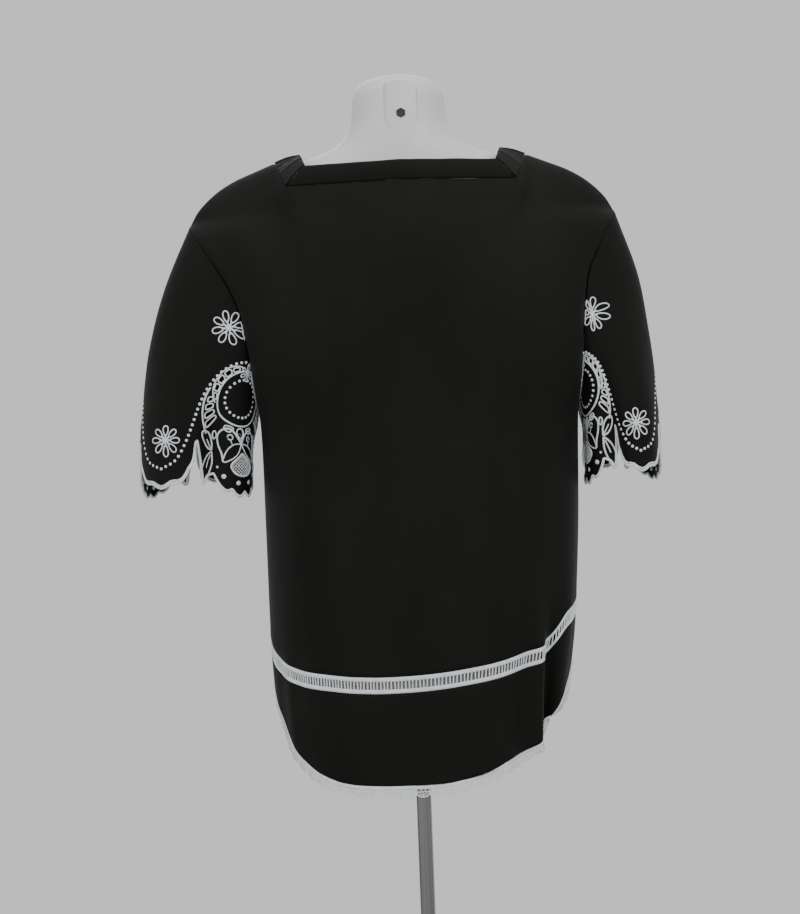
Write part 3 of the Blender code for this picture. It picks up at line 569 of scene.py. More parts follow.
def weave_height(look, scale):
    """Crossing threads, read from the cloth's own flat pattern."""
    pattern = add_node(look, "TexCoord").outputs["UV"]
    mix = add_node(look, "Math")
    mix.operation = "MAXIMUM"
    for way, socket in zip("XY", mix.inputs):
        wave = add_node(look, "TexWave", Vector=pattern, Scale=scale, Distortion=0.8, Detail=1.0,
                        Detail_Scale=0.4)
        wave.bands_direction = way
        look.node_tree.links.new(wave.outputs["Fac"], socket)
    return mix.outputs["Value"]


def cloth_material():
    """Matte black woven cloth with a faint sheen."""
    colour = tuple(bpy.context.scene.blouse_colours.cloth)
    look, shader = shader_of("black_woven_cloth", colour, 0.62, Specular_IOR_Level=0.10,
                             Sheen_Weight=0.03, Sheen_Roughness=0.4)
    tinted(look, shader, noise_at(look, 14.0, 4.0, (1, 1, 0.35)), colour, 0.75, 1.3)
    bumped(look, shader, weave_height(look, 420.0), 0.00016, 0.5)


def thread_material(name, dull):
    """White stitched thread: fine uneven strands."""
    colour = [c * dull for c in bpy.context.scene.blouse_colours.thread]
    look, shader = shader_of(name, colour, 0.7, Sheen_Weight=0.25)
    tinted(look, shader, noise_at(look, 120.0), colour, 0.86, 1.08)
    bumped(look, shader, noise_at(look, 900.0, 2.0, (1, 1, 0.5)), 0.0003, 0.6)


def plastic_material():
    """Pale satin plastic with faint cloudy wear."""
    colour = tuple(bpy.context.scene.blouse_colours.form)
    look, shader = shader_of("pale_form_plastic", colour, 0.42)
    tinted(look, shader, noise_at(look, 9.0, 5.0), colour, 0.95, 1.04)
    bumped(look, shader, noise_at(look, 260.0), 0.0001, 0.25)


def metal_material(name, rough, streak_and_grain_scale, stretch, dark, tone=1.0):
    """Polished or brushed metal with fine marks: brushed grain on the base plate and random patches on the
    socket; on the chrome pole the marks are stretched into long near-black streaks, which are painted
    reflections.
    """
    colour = [c * tone for c in bpy.context.scene.blouse_colours.metal]
    look, shader = shader_of(name, colour, rough, 1.0)
    # brushed grain and random patches, and on the chrome pole long dark streaks that are painted reflections
    grain_and_painted_streaks = noise_at(look, streak_and_grain_scale, 4.0, stretch)
    tinted(look, shader, grain_and_painted_streaks, colour, dark, 1.15)
    bumped(look, shader, grain_and_painted_streaks, 0.00004, 0.3)


def linked(name, data):
    """A new object with the given data, in the scene."""
    made = bpy.data.objects.new(name, data)
    bpy.context.scene.collection.objects.link(made)
    return made


def mesh_from(name, bm):
    """A mesh from a bmesh, which is freed."""
    mesh = bpy.data.meshes.new(name)
    bm.to_mesh(mesh)
    bm.free()
    return mesh


def final_mesh(holder):
    """An object's mesh with its modifiers or its bevel carried out."""
    bpy.context.view_layer.update()
    graph = bpy.context.evaluated_depsgraph_get()
    return bpy.data.meshes.new_from_object(holder.evaluated_get(graph))


def carved(piece, cutter):
    """A piece's mesh with the cutter's shape taken out of it; the cutter is removed."""
    cut = piece.modifiers.new("cut", "BOOLEAN")
    cut.operation = "DIFFERENCE"
    cut.object = cutter
    shaped = final_mesh(piece)
    piece.modifiers.clear()
    bpy.data.objects.remove(cutter, do_unlink=True)
    return shaped


def riding(name, mesh, look):
    """A piece from a mesh, shaded smooth, which rides on the part."""
    mesh.shade_smooth()
    mesh.materials.clear()
    mesh.materials.append(look)
    made = linked(name, mesh)
    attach(made, "root")
    return made


def new_piece(name, bm, look):
    """A riding piece from a bmesh, with its sharp edges kept."""
    made = riding(name, mesh_from(name, bm), look)
    made.data.set_sharp_from_angle(angle=math.radians(50))
    return made


def thicken(piece, wall):
    """Gives a cloth sheet its thickness, half to each side."""
    solid = piece.modifiers.new("wall", "SOLIDIFY")
    solid.thickness = wall
    solid.offset = 0.0
    solid.use_rim = True


def cloth_grid(name, point, across, up, width, length, look, wall, relax=0):
    """A sheet of cloth shaped by a function of its place across and up, from 0 to 1."""
    bm = bmesh.new()
    pattern = bm.loops.layers.uv.new("UVMap")
    bmesh.ops.create_grid(bm, x_segments=across, y_segments=up, size=0.5)
    for face in bm.faces:
        for corner in face.loops:
            place = corner.vert.co
            corner[pattern].uv = ((place.x + 0.5) * width, (place.y + 0.5) * length)
    for vert in bm.verts:
        vert.co = point(vert.co.x + 0.5, vert.co.y + 0.5)
    for k in range(relax):
        inner = [vert for vert in bm.verts if not vert.is_boundary and vert.co.z < 1.340 - 0.0009 * k]
        bmesh.ops.smooth_vert(bm, verts=inner, factor=0.5, use_axis_x=True, use_axis_y=True, use_axis_z=True)
    area = sum(face.calc_area() for face in bm.faces)
    piece = new_piece(name, bm, look)
    thicken(piece, wall)
    declare(width, length, area)
    return piece


def declare(width, length, area):
    """Works out a flat size from the cloth's width, length and area, widened where the area is larger;
    nothing is kept or returned.
    """
    size = width * length
    if area > size:
        width *= area / size * 1.002
        size = width * length


def soft_push(side, s, z):
    """Slight unevenness of the worn cloth, in metres outwards, fading at the side seams."""
    slow = noise.noise(Vector((s * 2.2 + side * 5, z * 3.0, 0.5)))
    long = noise.noise(Vector((s * 9.0 + side * 3, z * 1.6, 4.0)))
    fine = noise.noise(Vector((s * 16.0, z * 12.0, side * 9.0)))
    return (0.0022 * slow + 0.0016 * long + 0.0003 * fine) * smooth_step((1 - abs(s)) / 0.2)


def worn(side, s, spot):
    """A point of the body's cloth, moved by the cloth's slight unevenness."""
    push = soft_push(side, s, spot.z) * smooth_step((1.36 - spot.z) / 0.12)
    turn = math.pi / 2 * s
    return spot + Vector((push * math.sin(turn), side * push * math.cos(turn), 0))


def cord_piece(name, lines, look, sides=1):
    """Raised stitched lines: each line is a list of points, a radius and whether it closes."""
    curve = bpy.data.curves.new(name, "CURVE")
    curve.dimensions = "3D"
    curve.bevel_depth = 1.0
    curve.bevel_resolution = sides
    curve.use_fill_caps = True
    for points, radius, closed in lines:
        spline = curve.splines.new("POLY")
        spline.points.add(len(points) - 1)
        for place, point in zip(spline.points, points):
            place.co = (*point, 1.0)
            place.radius = radius
        spline.use_cyclic_u = closed
    holder = linked(name + "_lines", curve)
    mesh = final_mesh(holder)
    mesh.name = name
    bpy.data.objects.remove(holder, do_unlink=True)
    bpy.data.curves.remove(curve)
    return riding(name, mesh, look)


class BLOUSE_OT_materials(bpy.types.Operator):
    """Makes every finish: cloth, thread, plastic and metal."""
    bl_idname = "blouse.materials"
    bl_label = "Finishes"

    def execute(self, context):
        cloth_material()
        thread_material("white_thread", 1.0)
        thread_material("white_trim_thread", 0.96)
        plastic_material()
        # the pole's chrome: darkened, with long near-black streaks painted into its colour as reflections
        metal_material("chrome_painted_reflections", 0.13, 190.0, (1, 1, 0.004), 0.03, 0.5)
        metal_material("socket_steel", 0.2, 420.0, (1, 1, 1), 0.35)
        metal_material("brushed_base_steel", 0.32, 90.0, (1, 8, 1), 0.85)
        return {"FINISHED"}


class BLOUSE_OT_stand(bpy.types.Operator):
    """Finishes the base plate and the pole."""
    bl_idname = "blouse.stand"
    bl_label = "Pole and base plate"

    def execute(self, context):
        for node, look in (("base_plate", "brushed_base_steel"), ("pole", "chrome_painted_reflections")):
            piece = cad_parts[node]
            piece.data.materials.clear()
            piece.data.materials.append(bpy.data.materials[look])
        return {"FINISHED"}


class BLOUSE_OT_form(bpy.types.Operator):
    """Makes the smooth dress form with its neck pocket and metal socket."""
    bl_idname = "blouse.form"
    bl_label = "Dress form"

    def execute(self, context):
        heights = []
        for (low, *_), (high, *_) in zip(FORM, FORM[1:]):
            parts = max(2, round((high - low) / 0.008))
            heights += [low + (high - low) * k / parts for k in range(parts)]
        heights.append(FORM[-1][0])
        bm = bmesh.new()
        ring = bmesh.ops.create_circle(bm, cap_ends=True, segments=FORM_SIDES, radius=1.0)["verts"]
        edges = list({edge for vert in ring for edge in vert.link_edges})
        for z in heights:
            half, back, front = table(FORM, z)
            for k, vert in enumerate(ring):
                turn = 2 * math.pi * k / FORM_SIDES
                c, s = math.cos(turn), math.sin(turn)
                vert.co = (half * c, (back if s > 0 else front) * s, z)
            if z == heights[-1]:
                break
            grown = bmesh.ops.extrude_edge_only(bm, edges=edges)["geom"]
            edges = [item for item in grown if isinstance(item, bmesh.types.BMEdge)]
            above = {edge.other_vert(vert): vert for vert in grown if isinstance(vert, bmesh.types.BMVert)
                     for edge in vert.link_edges}
            ring = [above[vert] for vert in ring]
        bmesh.ops.contextual_create(bm, geom=edges)
        bmesh.ops.recalc_face_normals(bm, faces=bm.faces[:])
        form = new_piece("form_body", bm, bpy.data.materials["pale_form_plastic"])
        form.data = carved(form, self.pocket_cutter())
        form.data.shade_smooth()
        form.data.set_sharp_from_angle(angle=math.radians(32))
        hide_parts("dress_form")
        self.make_socket()
        return {"FINISHED"}

    def pocket_cutter(self):
        """The shape of the flat pocket at the back of the neck."""
        bm = bmesh.new()
        bmesh.ops.create_cube(bm, size=1.0)
        bmesh.ops.scale(bm, vec=POCKET_SIZE, verts=bm.verts[:])
        upright = [e for e in bm.edges if abs(e.verts[0].co.y - e.verts[1].co.y) > 0.01]
        bmesh.ops.bevel(bm, geom=upright, offset=0.015, segments=10, profile=0.5, material=-1, affect="EDGES")
        bmesh.ops.translate(bm, vec=POCKET_AT, verts=bm.verts[:])
        bmesh.ops.recalc_face_normals(bm, faces=bm.faces[:])
        return linked("pocket_cutter", mesh_from("pocket_cutter", bm))

    def make_socket(self):
        """Turns the socket ring, with a hexagonal hole in it."""
        bm = bmesh.new()
        bmesh.ops.create_circle(bm, cap_ends=True, segments=SOCKET_SIDES, radius=0.0089)
        middle = bm.faces[:][0]
        # the rounded edge, the rim of the hole made hexagonal, and its floor
        steps = ((0.0010, 0.0012, False), (0.0018, 0.0002, True), (0.0003, -0.0012, False))
        for inset, lift, hexagonal in steps:
            bmesh.ops.inset_region(bm, faces=[middle], thickness=inset)
            middle = next(face for face in bm.faces if len(face.verts) == SOCKET_SIDES)
            if hexagonal:
                for vert in middle.verts:
                    turn = math.atan2(vert.co.y, vert.co.x)
                    sector = (turn + math.pi / 6) % (math.pi / 3) - math.pi / 6
                    reach = HEXAGON * math.cos(math.pi / 6) / math.cos(sector)
                    vert.co.x, vert.co.y = reach * math.cos(turn), reach * math.sin(turn)
            bmesh.ops.translate(bm, vec=(0, 0, lift), verts=middle.verts[:])
        bmesh.ops.rotate(bm, verts=bm.verts[:], cent=(0, 0, 0), matrix=Matrix.Rotation(-math.pi / 2, 3, "X"))
        bmesh.ops.translate(bm, vec=SOCKET_AT, verts=bm.verts[:])
        bmesh.ops.recalc_face_normals(bm, faces=bm.faces[:])
        ring = new_piece("socket_ring", bm, bpy.data.materials["socket_steel"])
        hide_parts("neck_socket")
        colour = (0.012, 0.015, 0.018)
        shadow, shader = shader_of("socket_shadow", colour, 0.5)
        tinted(shadow, shader, noise_at(shadow, 300.0), colour, 0.7, 1.5)
        ring.data.materials.append(shadow)
        for part in ring.data.polygons:
            if len(part.vertices) == SOCKET_SIDES:
                part.material_index = 1


class BLOUSE_OT_body(bpy.types.Operator):
    """Makes the back and front panels and the hem panels in black cloth."""
    bl_idname = "blouse.body"
    bl_label = "Body panels"

    def execute(self, context):
        sizes = context.scene.blouse_sizes
        look = bpy.data.materials["black_woven_cloth"]
        for name, side in (("back", 1), ("front", -1)):
            def upper(u, v):
                s = (2 * u - 1) * REACH
                return worn(side, s, panel_point(side, s, 1 - (1 - v) ** 1.45))

            def lower(u, v):
                s = (2 * u - 1) * REACH
                high = trim_top(s) - TRIM_WIDTH - GAP / 2
                low = hem_edge(s) + GAP / 2
                return worn(side, s, round_body(side, s, low + (high - low) * v))
            panel = cloth_grid(f"{name}_cloth", upper, 150, 130, 0.60, 0.62, look,
                               sizes.wall, 70)
            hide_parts(f"{name}_panel")
            hem = cloth_grid(f"{name}_hem_cloth", lower, 150, 26, 0.52, 0.14, look, sizes.wall)
            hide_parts(f"hem_panel_{name}")
        return {"FINISHED"}


class BLOUSE_OT_neckbands(bpy.types.Operator):
    """Makes the four neckbands, the shoulder ones gathered."""
    bl_idname = "blouse.neckbands"
    bl_label = "Neckbands"

    def execute(self, context):
        wall = context.scene.blouse_sizes.wall * 1.5
        look = bpy.data.materials["black_woven_cloth"]
        # top edge, side, share of the row at the corner, half length of the inner edge, rise, lean inwards
        bands = (
            ("back", BACK_TOP, 1, 0.366, 0.1105, 0.0235, 0.0035),
            ("front", FRONT_TOP, -1, 0.330, 0.1045, 0.0225, 0.0075),
        )
        for name, rows, side, corner, inner_x, lift, lean in bands:
            def point(u, v):
                s = corner * (1 - 2 * u) * 1.004
                x, y, z = straight(rows, abs(s))
                outer = Vector((math.copysign(x, s), side * y, z + 0.0006))
                inner = Vector(((inner_x + 0.003) * (1 - 2 * u), side * (y - lean), z + 0.0006 + lift))
                spot = outer.lerp(inner, v)
                spot.z += 0.0006 * noise.noise(Vector((u * 7, 0, side)))
                spot.y += side * 0.0022 * math.sin(math.pi * v)
                return spot
            band = cloth_grid(f"{name}_neckband", point, 90, 8, 0.262, 0.024, look, wall)
            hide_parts(f"neckband_{name}")
        outer = [(x, y, z) for s, x, y, z in BACK_TOP if 0.36 < s < 0.41]
        outer += [(x, -y, z) for s, x, y, z in FRONT_TOP[::-1] if 0.32 < s < 0.40]
        for name, sign in (("left", 1), ("right", -1)):
            outer_line = [Vector((sign * (x + 0.0012), y, z + 0.0004)) for x, y, z in outer]
            inner_line = [Vector((sign * x, y, z)) for x, y, z in BAND_INNER]
            outer_line[0] += Vector((sign * 0.0022, -0.0004, 0.0014))
            outer_line[-1] += Vector((sign * 0.0002, 0.0008, 0.0022))

            def gathered(u, v):
                spot = along(outer_line, u).lerp(along(inner_line, u), v)
                near_top = math.exp(-((u - 0.36) / 0.17) ** 2)
                pleat = math.sin(2 * math.pi * (u * 17 + 0.35 * v + 0.3 * math.sin(5 * u)))
                spot.z += 0.0019 * near_top * pleat * (0.35 + 0.65 * v) + 0.002 * math.sin(math.pi * v)
                spot.y += 0.0012 * near_top * math.cos(2 * math.pi * u * 17) * v
                spot.x += sign * 0.0006 * near_top * pleat
                return spot
            band = cloth_grid(f"{name}_neckband", gathered, 220, 12, 0.235, 0.026, look, wall)
            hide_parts(f"neckband_{name}")
        return {"FINISHED"}


class BLOUSE_OT_ladder(bpy.types.Operator):
    """Makes the white ladder trim: two edges and the bars between them."""
    bl_idname = "blouse.ladder"
    bl_label = "Ladder trim"

    def execute(self, context):
        sizes = context.scene.blouse_sizes
        look = bpy.data.materials["white_trim_thread"]
        for name, side in (("back", 1), ("front", -1)):
            def strip(start):
                def point(u, v):
                    s = (2 * u - 1) * TRIM_REACH
                    z = trim_top(s) - GAP / 2 - start - LADDER_EDGE * (1 - v)
                    rise = Vector((0, side * 0.0004 * math.sin(math.pi * v), 0))
                    return worn(side, s, round_body(side, s, z)) + rise
                return point
            edges = [cloth_grid(f"{name}_ladder_{part}", strip(start), 170, 3, 0.52, 0.0105, look,
                                0.0012)
                     for part, start in (("top", 0.0), ("low", TRIM_WIDTH - GAP - LADDER_EDGE))]
            lines = []
            count = round(0.5 / sizes.ladder_pitch)
            for k in range(count):
                s = (2 * (k + 0.5) / count - 1) * TRIM_REACH
                high = trim_top(s) - LADDER_EDGE + 0.0006
                base = trim_top(s) - TRIM_WIDTH + LADDER_EDGE - 0.0006
                points = []
                for t in (0, 1, 2):
                    lean = s + 0.0009 * math.sin(k * 1.7) * t
                    points.append(worn(side, lean, round_body(side, lean, high + (base - high) * t / 2)))
                lines.append((points, 0.00085, False))
            bars = cord_piece(f"{name}_ladder_bars", lines, look)
            for piece in (bars, *edges):
                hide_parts(f"ladder_{name}")
        return {"FINISHED"}


class BLOUSE_OT_lace(bpy.types.Operator):
    """Makes the looped white lace along the hem."""
    bl_idname = "blouse.lace"
    bl_label = "Hem lace"

    def execute(self, context):
        look = bpy.data.materials["white_thread"]
        for name, side in (("back", 1), ("front", -1)):
            samples = [(TRIM_REACH * (2 * k / 400 - 1),) for k in range(401)]
            lengths = run_of([self.hem_point(side, s) for s, in samples])

            def place(run, drop):
                """A point at a length along the hem and a drop below it, square to the edge."""
                s, = place_at(samples, lengths, min(max(run, 0.0), lengths[-1]))
                ahead = self.hem_point(side, min(s + 0.004, 1)) - self.hem_point(side, max(s - 0.004, -1))
                out = Vector((math.sin(math.pi / 2 * s), side * math.cos(math.pi / 2 * s), 0))
                down = ahead.cross(out).normalized()
                return self.hem_point(side, s) + down * (-drop if down.z > 0 else drop)

            def strip(u, v):
                return place(u * lengths[-1], 0.0002 + LACE_HEADER * (1 - v))
            top = cloth_grid(f"{name}_lace_edge", strip, 200, 2, lengths[-1] * 1.01, 0.0105, look,
                             0.0011)
            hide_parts(f"hem_lace_{name}")
            loops = cord_piece(f"{name}_lace_loops", self.loops(place, lengths[-1]), look)
            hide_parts(f"hem_lace_{name}")
        return {"FINISHED"}

    def hem_point(self, side, s):
        """A point of the hem across a row."""
        return round_body(side, s, hem_edge(s))

    def loops(self, place, length):
        """The lace's lines: a long thread, and for each loop three legs, two arcs and a middle bar."""
        count = round(length / bpy.context.scene.blouse_sizes.lace_pitch)
        pitch = length / count
        lines = [([place(length * k / 300, 0.0074) for k in range(301)], 0.0007, False)]
        for k in range(count):
            for part in (0.0, 0.33, 0.67):
                run = pitch * (k + part)
                lines.append(([place(run, drop) for drop in (0.0035, 0.0055, 0.0078)], 0.00065, False))
            for reach, deep, thick in ((0.50, 0.0132, 0.0009), (0.30, 0.0108, 0.0006)):
                bow = [place(pitch * (k + 0.5 - reach * math.cos(turn)),
                             0.0076 + (deep - 0.0076) * math.sin(turn) ** 0.8)
                       for turn in [math.pi * step / 10 for step in range(11)]]
                lines.append((bow, thick, False))
            lines.append(([place(pitch * (k + 0.5), drop) for drop in (0.0076, 0.0130)], 0.0006, False))
        return lines


def rounded(loop, times):
    """A closed loop with its corners cut round."""
    for _ in range(times):
        points = []
        for (u0, v0), (u1, v1) in zip(loop, loop[1:] + loop[:1]):
            points.append((u0 * 0.75 + u1 * 0.25, v0 * 0.75 + v1 * 0.25))
            points.append((u0 * 0.25 + u1 * 0.75, v0 * 0.25 + v1 * 0.75))
        loop = points
    return loop


def evened(points, pitch, closed=False):
    """The line again with its points at an even pitch."""
    line = points + points[:1] if closed else points
    lengths = run_of(line)
    count = max(2, round(lengths[-1] / pitch))
    return [place_at(line, lengths, lengths[-1] * k / count) for k in range(count + (not closed))]


def spline(points, steps=6):
    """A smooth line through a few points."""
    made = []
    last = len(points) - 1
    for k in range(last):
        p0, p1 = points[max(k - 1, 0)], points[k]
        p2, p3 = points[k + 1], points[min(k + 2, last)]
        for step in range(steps):
            t = step / steps
            made.append(tuple(
                b + 0.5 * t * (c - a + (2 * a - 5 * b + 4 * c - d) * t + (3 * b - a - 3 * c + d) * t * t)
                for a, b, c, d in zip(p0, p1, p2, p3)))
    made.append(points[-1])
    return made


def arc(middle, radius, start, end, steps=24):
    """An arc round a point, its turns in degrees."""
    return [(middle[0] + radius * math.cos(math.radians(start + (end - start) * k / steps)),
             middle[1] + radius * math.sin(math.radians(start + (end - start) * k / steps)))
            for k in range(steps + 1)]


# the right half of a cutwork panel's stitched lines, across from its middle and up from the edge
LEAF_HIGH = ((0.0350, 0.0440), (0.0440, 0.0480), (0.0520, 0.0590), (0.0515, 0.0665), (0.0420, 0.0640),
             (0.0355, 0.0540), (0.0350, 0.0440))
LEAF_HIGH_RIB = ((0.0365, 0.0465), (0.0450, 0.0570))
LEAF_LOW = ((0.0350, 0.0425), (0.0450, 0.0360), (0.0520, 0.0250), (0.0500, 0.0130), (0.0410, 0.0195),
            (0.0350, 0.0300), (0.0350, 0.0425))
LEAF_LOW_RIB = ((0.0370, 0.0385), (0.0440, 0.0260))
WING_HIGH = ((0.0000, 0.0510), (0.0060, 0.0620), (0.0140, 0.0690), (0.0225, 0.0680), (0.0280, 0.0610),
             (0.0275, 0.0500), (0.0245, 0.0400), (0.0235, 0.0310))
WING_LOW = ((0.0000, 0.0510), (0.0090, 0.0505), (0.0180, 0.0440), (0.0235, 0.0310), (0.0150, 0.0325),
            (0.0060, 0.0390), (0.0000, 0.0510))
NET_HALF = ((0.0000, 0.0400), (0.0060, 0.0345), (0.0150, 0.0270), (0.0120, 0.0205), (0.0060, 0.0175),
            (0.0000, 0.0168))
# from the middle of a panel down to the middle of the next tongue
DOTTED = ((0.0000, 0.1500), (0.0180, 0.1465), (0.0360, 0.1350), (0.0500, 0.1170), (0.0600, 0.0960),
          (0.0680, 0.0740), (0.0760, 0.0530), (0.0880, 0.0360), (0.1080, 0.0285))


def panel_lines():
    """A panel's stitched lines: points, radius and whether the line closes."""
    sizes = bpy.context.scene.blouse_sizes
    thin, thick = sizes.cord, sizes.cord * 1.25
    lines = []
    for cell in panel_holes():
        lines.append((evened(rounded(cell, 2), 0.0019, True), thin, True))
    lines.append((evened(arc((0, RING_HEIGHT), RING - 0.0002, 0, 360, 48)[:-1], 0.0024, True), thick, True))
    outer = [round_ring(RING + 0.0004 + 0.0118 * math.sin(math.pi * (0.04 + 0.92 * t)) ** 0.7,
                        math.radians(80 - 90 * t)) for t in [k / 16 for k in range(17)]]
    second = [round_ring(0.0475 + 0.0160 * t, math.radians(14 - 56 * t)) for t in [k / 12 for k in range(13)]]
    half = [
        (evened(outer, 0.0024), thin),
        (evened(second, 0.0024), thick),
        (evened(LEAF_HIGH_RIB, 0.0024), thin),
        (evened(LEAF_LOW_RIB, 0.0024), thin),
        (evened(arc((0.0140, 0.0590), 0.0033, 0, 360, 14)[:-1], 0.0016), thin),
        (evened([(0.0140, 0.0555), (0.0120, 0.0500)], 0.0020), thin * 0.8),
    ]
    for shape, radius in ((LEAF_HIGH, thick), (LEAF_LOW, thick), (WING_HIGH, thick), (WING_LOW, thin)):
        half.append((evened(spline(shape), 0.0022), radius))
    half.append((evened(spline(NET_HALF), 0.0020), thick))
    for line, radius in half:
        lines.append((line, radius, False))
        lines.append((mirrored(line), radius, False))
    lines.append((evened([(0.0, 0.0510), (0.0, 0.0565)], 0.002), thin, False))
    return lines


def daisy_lines(middle, reach, petals, turn, radius):
    """An open-petalled daisy: a loop for each petal and a stitched star in its middle."""
    lines = []
    for k in range(petals):
        way = math.radians(turn) + 2 * math.pi * k / petals
        c, s = math.cos(way), math.sin(way)
        loop = []
        for step in range(14):
            t = 2 * math.pi * step / 14
            out = reach * (0.64 - 0.34 * math.cos(t))
            wide = reach * 0.165 * math.sin(t) * (1 - 0.35 * math.cos(t))
            loop.append((middle[0] + out * c - wide * s, middle[1] + out * s + wide * c))
        lines.append((loop, radius, True))
        star = [(middle[0] + r * c, middle[1] + r * s) for r in (0.0, reach * 0.2, reach * 0.40)]
        lines.append((star, radius * 1.35, False))
    return lines


def dotted_spots():
    """The dots of the dotted lines, across from a panel's middle and up from the edge, and their size."""
    sizes = bpy.context.scene.blouse_sizes
    wave = evened(spline(DOTTED), 0.0064)
    spots = [(a, b, sizes.dot) for a, b in wave]
    spots += [(-a, b, sizes.dot) for a, b in wave[1:-1]]
    for a, b in evened(arc((0, RING_HEIGHT), 0.0225, 0, 360, 60)[:-1], 0.0063, True):
        spots.append((a, b, sizes.dot * 0.95))
    for a, b in ((0.0079, 0.0118), (0.0236, 0.0178)):
        spots += [(a, b, sizes.big_dot), (-a, b, sizes.big_dot)]
    spots += [(a, 0.0262, sizes.big_dot * 0.55) for a in (-0.0295, 0.0295)]
    return spots


def net_opening():
    """The opening that a panel's net fills."""
    half = spline(NET_HALF, 3)
    return half + mirrored(half[-2:0:-1])


def sleeve_middles():
    """Where each panel's and each tongue's middle lies, round from the sleeve's outside."""
    pitch = SLEEVE_ROUND / REPEATS
    first = TONGUE_MIDDLE - pitch
    return [first + pitch * (k + 0.5) for k in range(REPEATS)], [first + pitch * k for k in range(REPEATS)]


def worn_sleeve(sign, u, v):
    """The sleeve's surface with its slight unevenness."""
    spot = sleeve_at(sign, u, v)
    turn = pattern_turn(sign, u, v)
    length = sleeve_length(turn)
    slow = noise.noise(Vector((math.cos(turn) * 1.6, math.sin(turn) * 1.6 + sign * 7, v * 9)))
    push = 0.0016 * slow * smooth_step((length - v) / 0.06)
    return spot + Vector((sign * push * math.cos(turn), push * math.sin(turn), 0))


def worn_slopes(sign, u, v, step):
    """How the sleeve's surface runs round and up for each metre of its flat pattern."""
    around = worn_sleeve(sign, u + step, v) - worn_sleeve(sign, u - step, v)
    up = worn_sleeve(sign, u, v + step) - worn_sleeve(sign, u, v - step)
    return around / (2 * step), up / (2 * step)


def worn_facing(sign, u, v):
    """The direction out of the sleeve's surface."""
    around, up = worn_slopes(sign, u, v, 0.0009)
    return around.cross(up).normalized() * sign


def true_shape(sign, u, v, line):
    """Pattern places for a motif drawn round u, v so that it keeps its shape as worn."""
    flat_u, flat_v = u - 0.016, v - 0.010
    around, up = worn_slopes(sign, flat_u, flat_v, 0.003)
    out = worn_facing(sign, flat_u, flat_v)
    side = Vector((0, 0, 1)).cross(out).normalized() * sign
    rise = out.cross(side).normalized()
    if rise.z < 0:
        rise = -rise
    uu, uv, vu, vv = around.dot(side), up.dot(side), around.dot(rise), up.dot(rise)
    whole = uu * vv - uv * vu
    return [(u + (a * vv - b * uv) / whole, v + (b * uu - a * vu) / whole) for a, b in line]


class BLOUSE_OT_sleeves(bpy.types.Operator):
    """Makes both sleeves from their flat pattern, with the cutwork cut through."""
    bl_idname = "blouse.sleeves"
    bl_label = "Sleeves"

    def execute(self, context):
        sizes = context.scene.blouse_sizes
        look = bpy.data.materials["black_woven_cloth"]
        for hand, sign in (("left", 1), ("right", -1)):
            bm = self.flat_pattern(sign, sizes.wall)
            pattern = bm.loops.layers.uv.new("UVMap")
            for face in bm.faces:
                for corner in face.loops:
                    corner[pattern].uv = corner.vert.co.xy
            tops = [face for face in bm.faces if face.normal.z > 0.9]
            for vert in bm.verts:
                u, v, height = vert.co
                vert.co = worn_sleeve(sign, u, v) + worn_facing(sign, u, v) * height
            worn = sum(face.calc_area() for face in tops)
            if sign < 0:
                bmesh.ops.reverse_faces(bm, faces=bm.faces[:])
            piece = new_piece(f"{hand}_sleeve_cloth", bm, look)
            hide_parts(f"sleeve_{hand}_back", f"sleeve_{hand}_front")
        return {"FINISHED"}

    def slab(self, name, loops, height):
        """Flat slabs of the given height, one for each closed loop."""
        bm = bmesh.new()
        for loop in loops:
            bm.faces.new([bm.verts.new((u, v, -height / 2)) for u, v in loop])
        grown = bmesh.ops.extrude_face_region(bm, geom=bm.faces[:])["geom"]
        risen = [item for item in grown if isinstance(item, bmesh.types.BMVert)]
        bmesh.ops.translate(bm, vec=(0, 0, height), verts=risen)
        bmesh.ops.recalc_face_normals(bm, faces=bm.faces[:])
        return linked(name, mesh_from(name, bm))

    def flat_pattern(self, sign, wall):
        """The sleeve's cut, laid flat with its openings cut out, divided finely enough to bend."""
        panels, tongues = sleeve_middles()
        start = tongues[0] - TONGUE / 2
        end = start + SLEEVE_ROUND
        outline = [(start + 0.0004, NOTCH)] + edge_run(tongues[0], REPEATS)
        outline[-1] = (end - 0.0006, NOTCH)
        for k in range(61):
            u = end - 0.0006 - (SLEEVE_ROUND - 0.001) * k / 60
            outline.append((u, pattern_top(sign, u) - 0.0001))
        cells = [evened(rounded(cell, 2), 0.0019, True) for cell in panel_holes() + [net_opening()]]
        loops = [[(middle + a, b) for a, b in cell] for middle in panels for cell in cells]
        cloth = self.slab("flat_sleeve", [outline], wall)
        shaped = carved(cloth, self.slab("flat_openings", loops, wall * 4))
        bpy.data.objects.remove(cloth, do_unlink=True)
        bm = bmesh.new()
        bm.from_mesh(shaped)
        bpy.data.meshes.remove(shaped)
        bmesh.ops.triangulate(bm, faces=bm.faces[:])
        for axis, low, high in ((0, start, end), (1, -0.004, 0.34)):
            count = int((high - low) / CLOTH_STEP)
            for k in range(1, count):
                place, way = [0.0] * 3, [0.0] * 3
                place[axis] = low + (high - low) * k / count
                way[axis] = 1.0
                everything = bm.verts[:] + bm.edges[:] + bm.faces[:]
                bmesh.ops.bisect_plane(bm, geom=everything, dist=0.00002, plane_co=place, plane_no=way)
        return bm


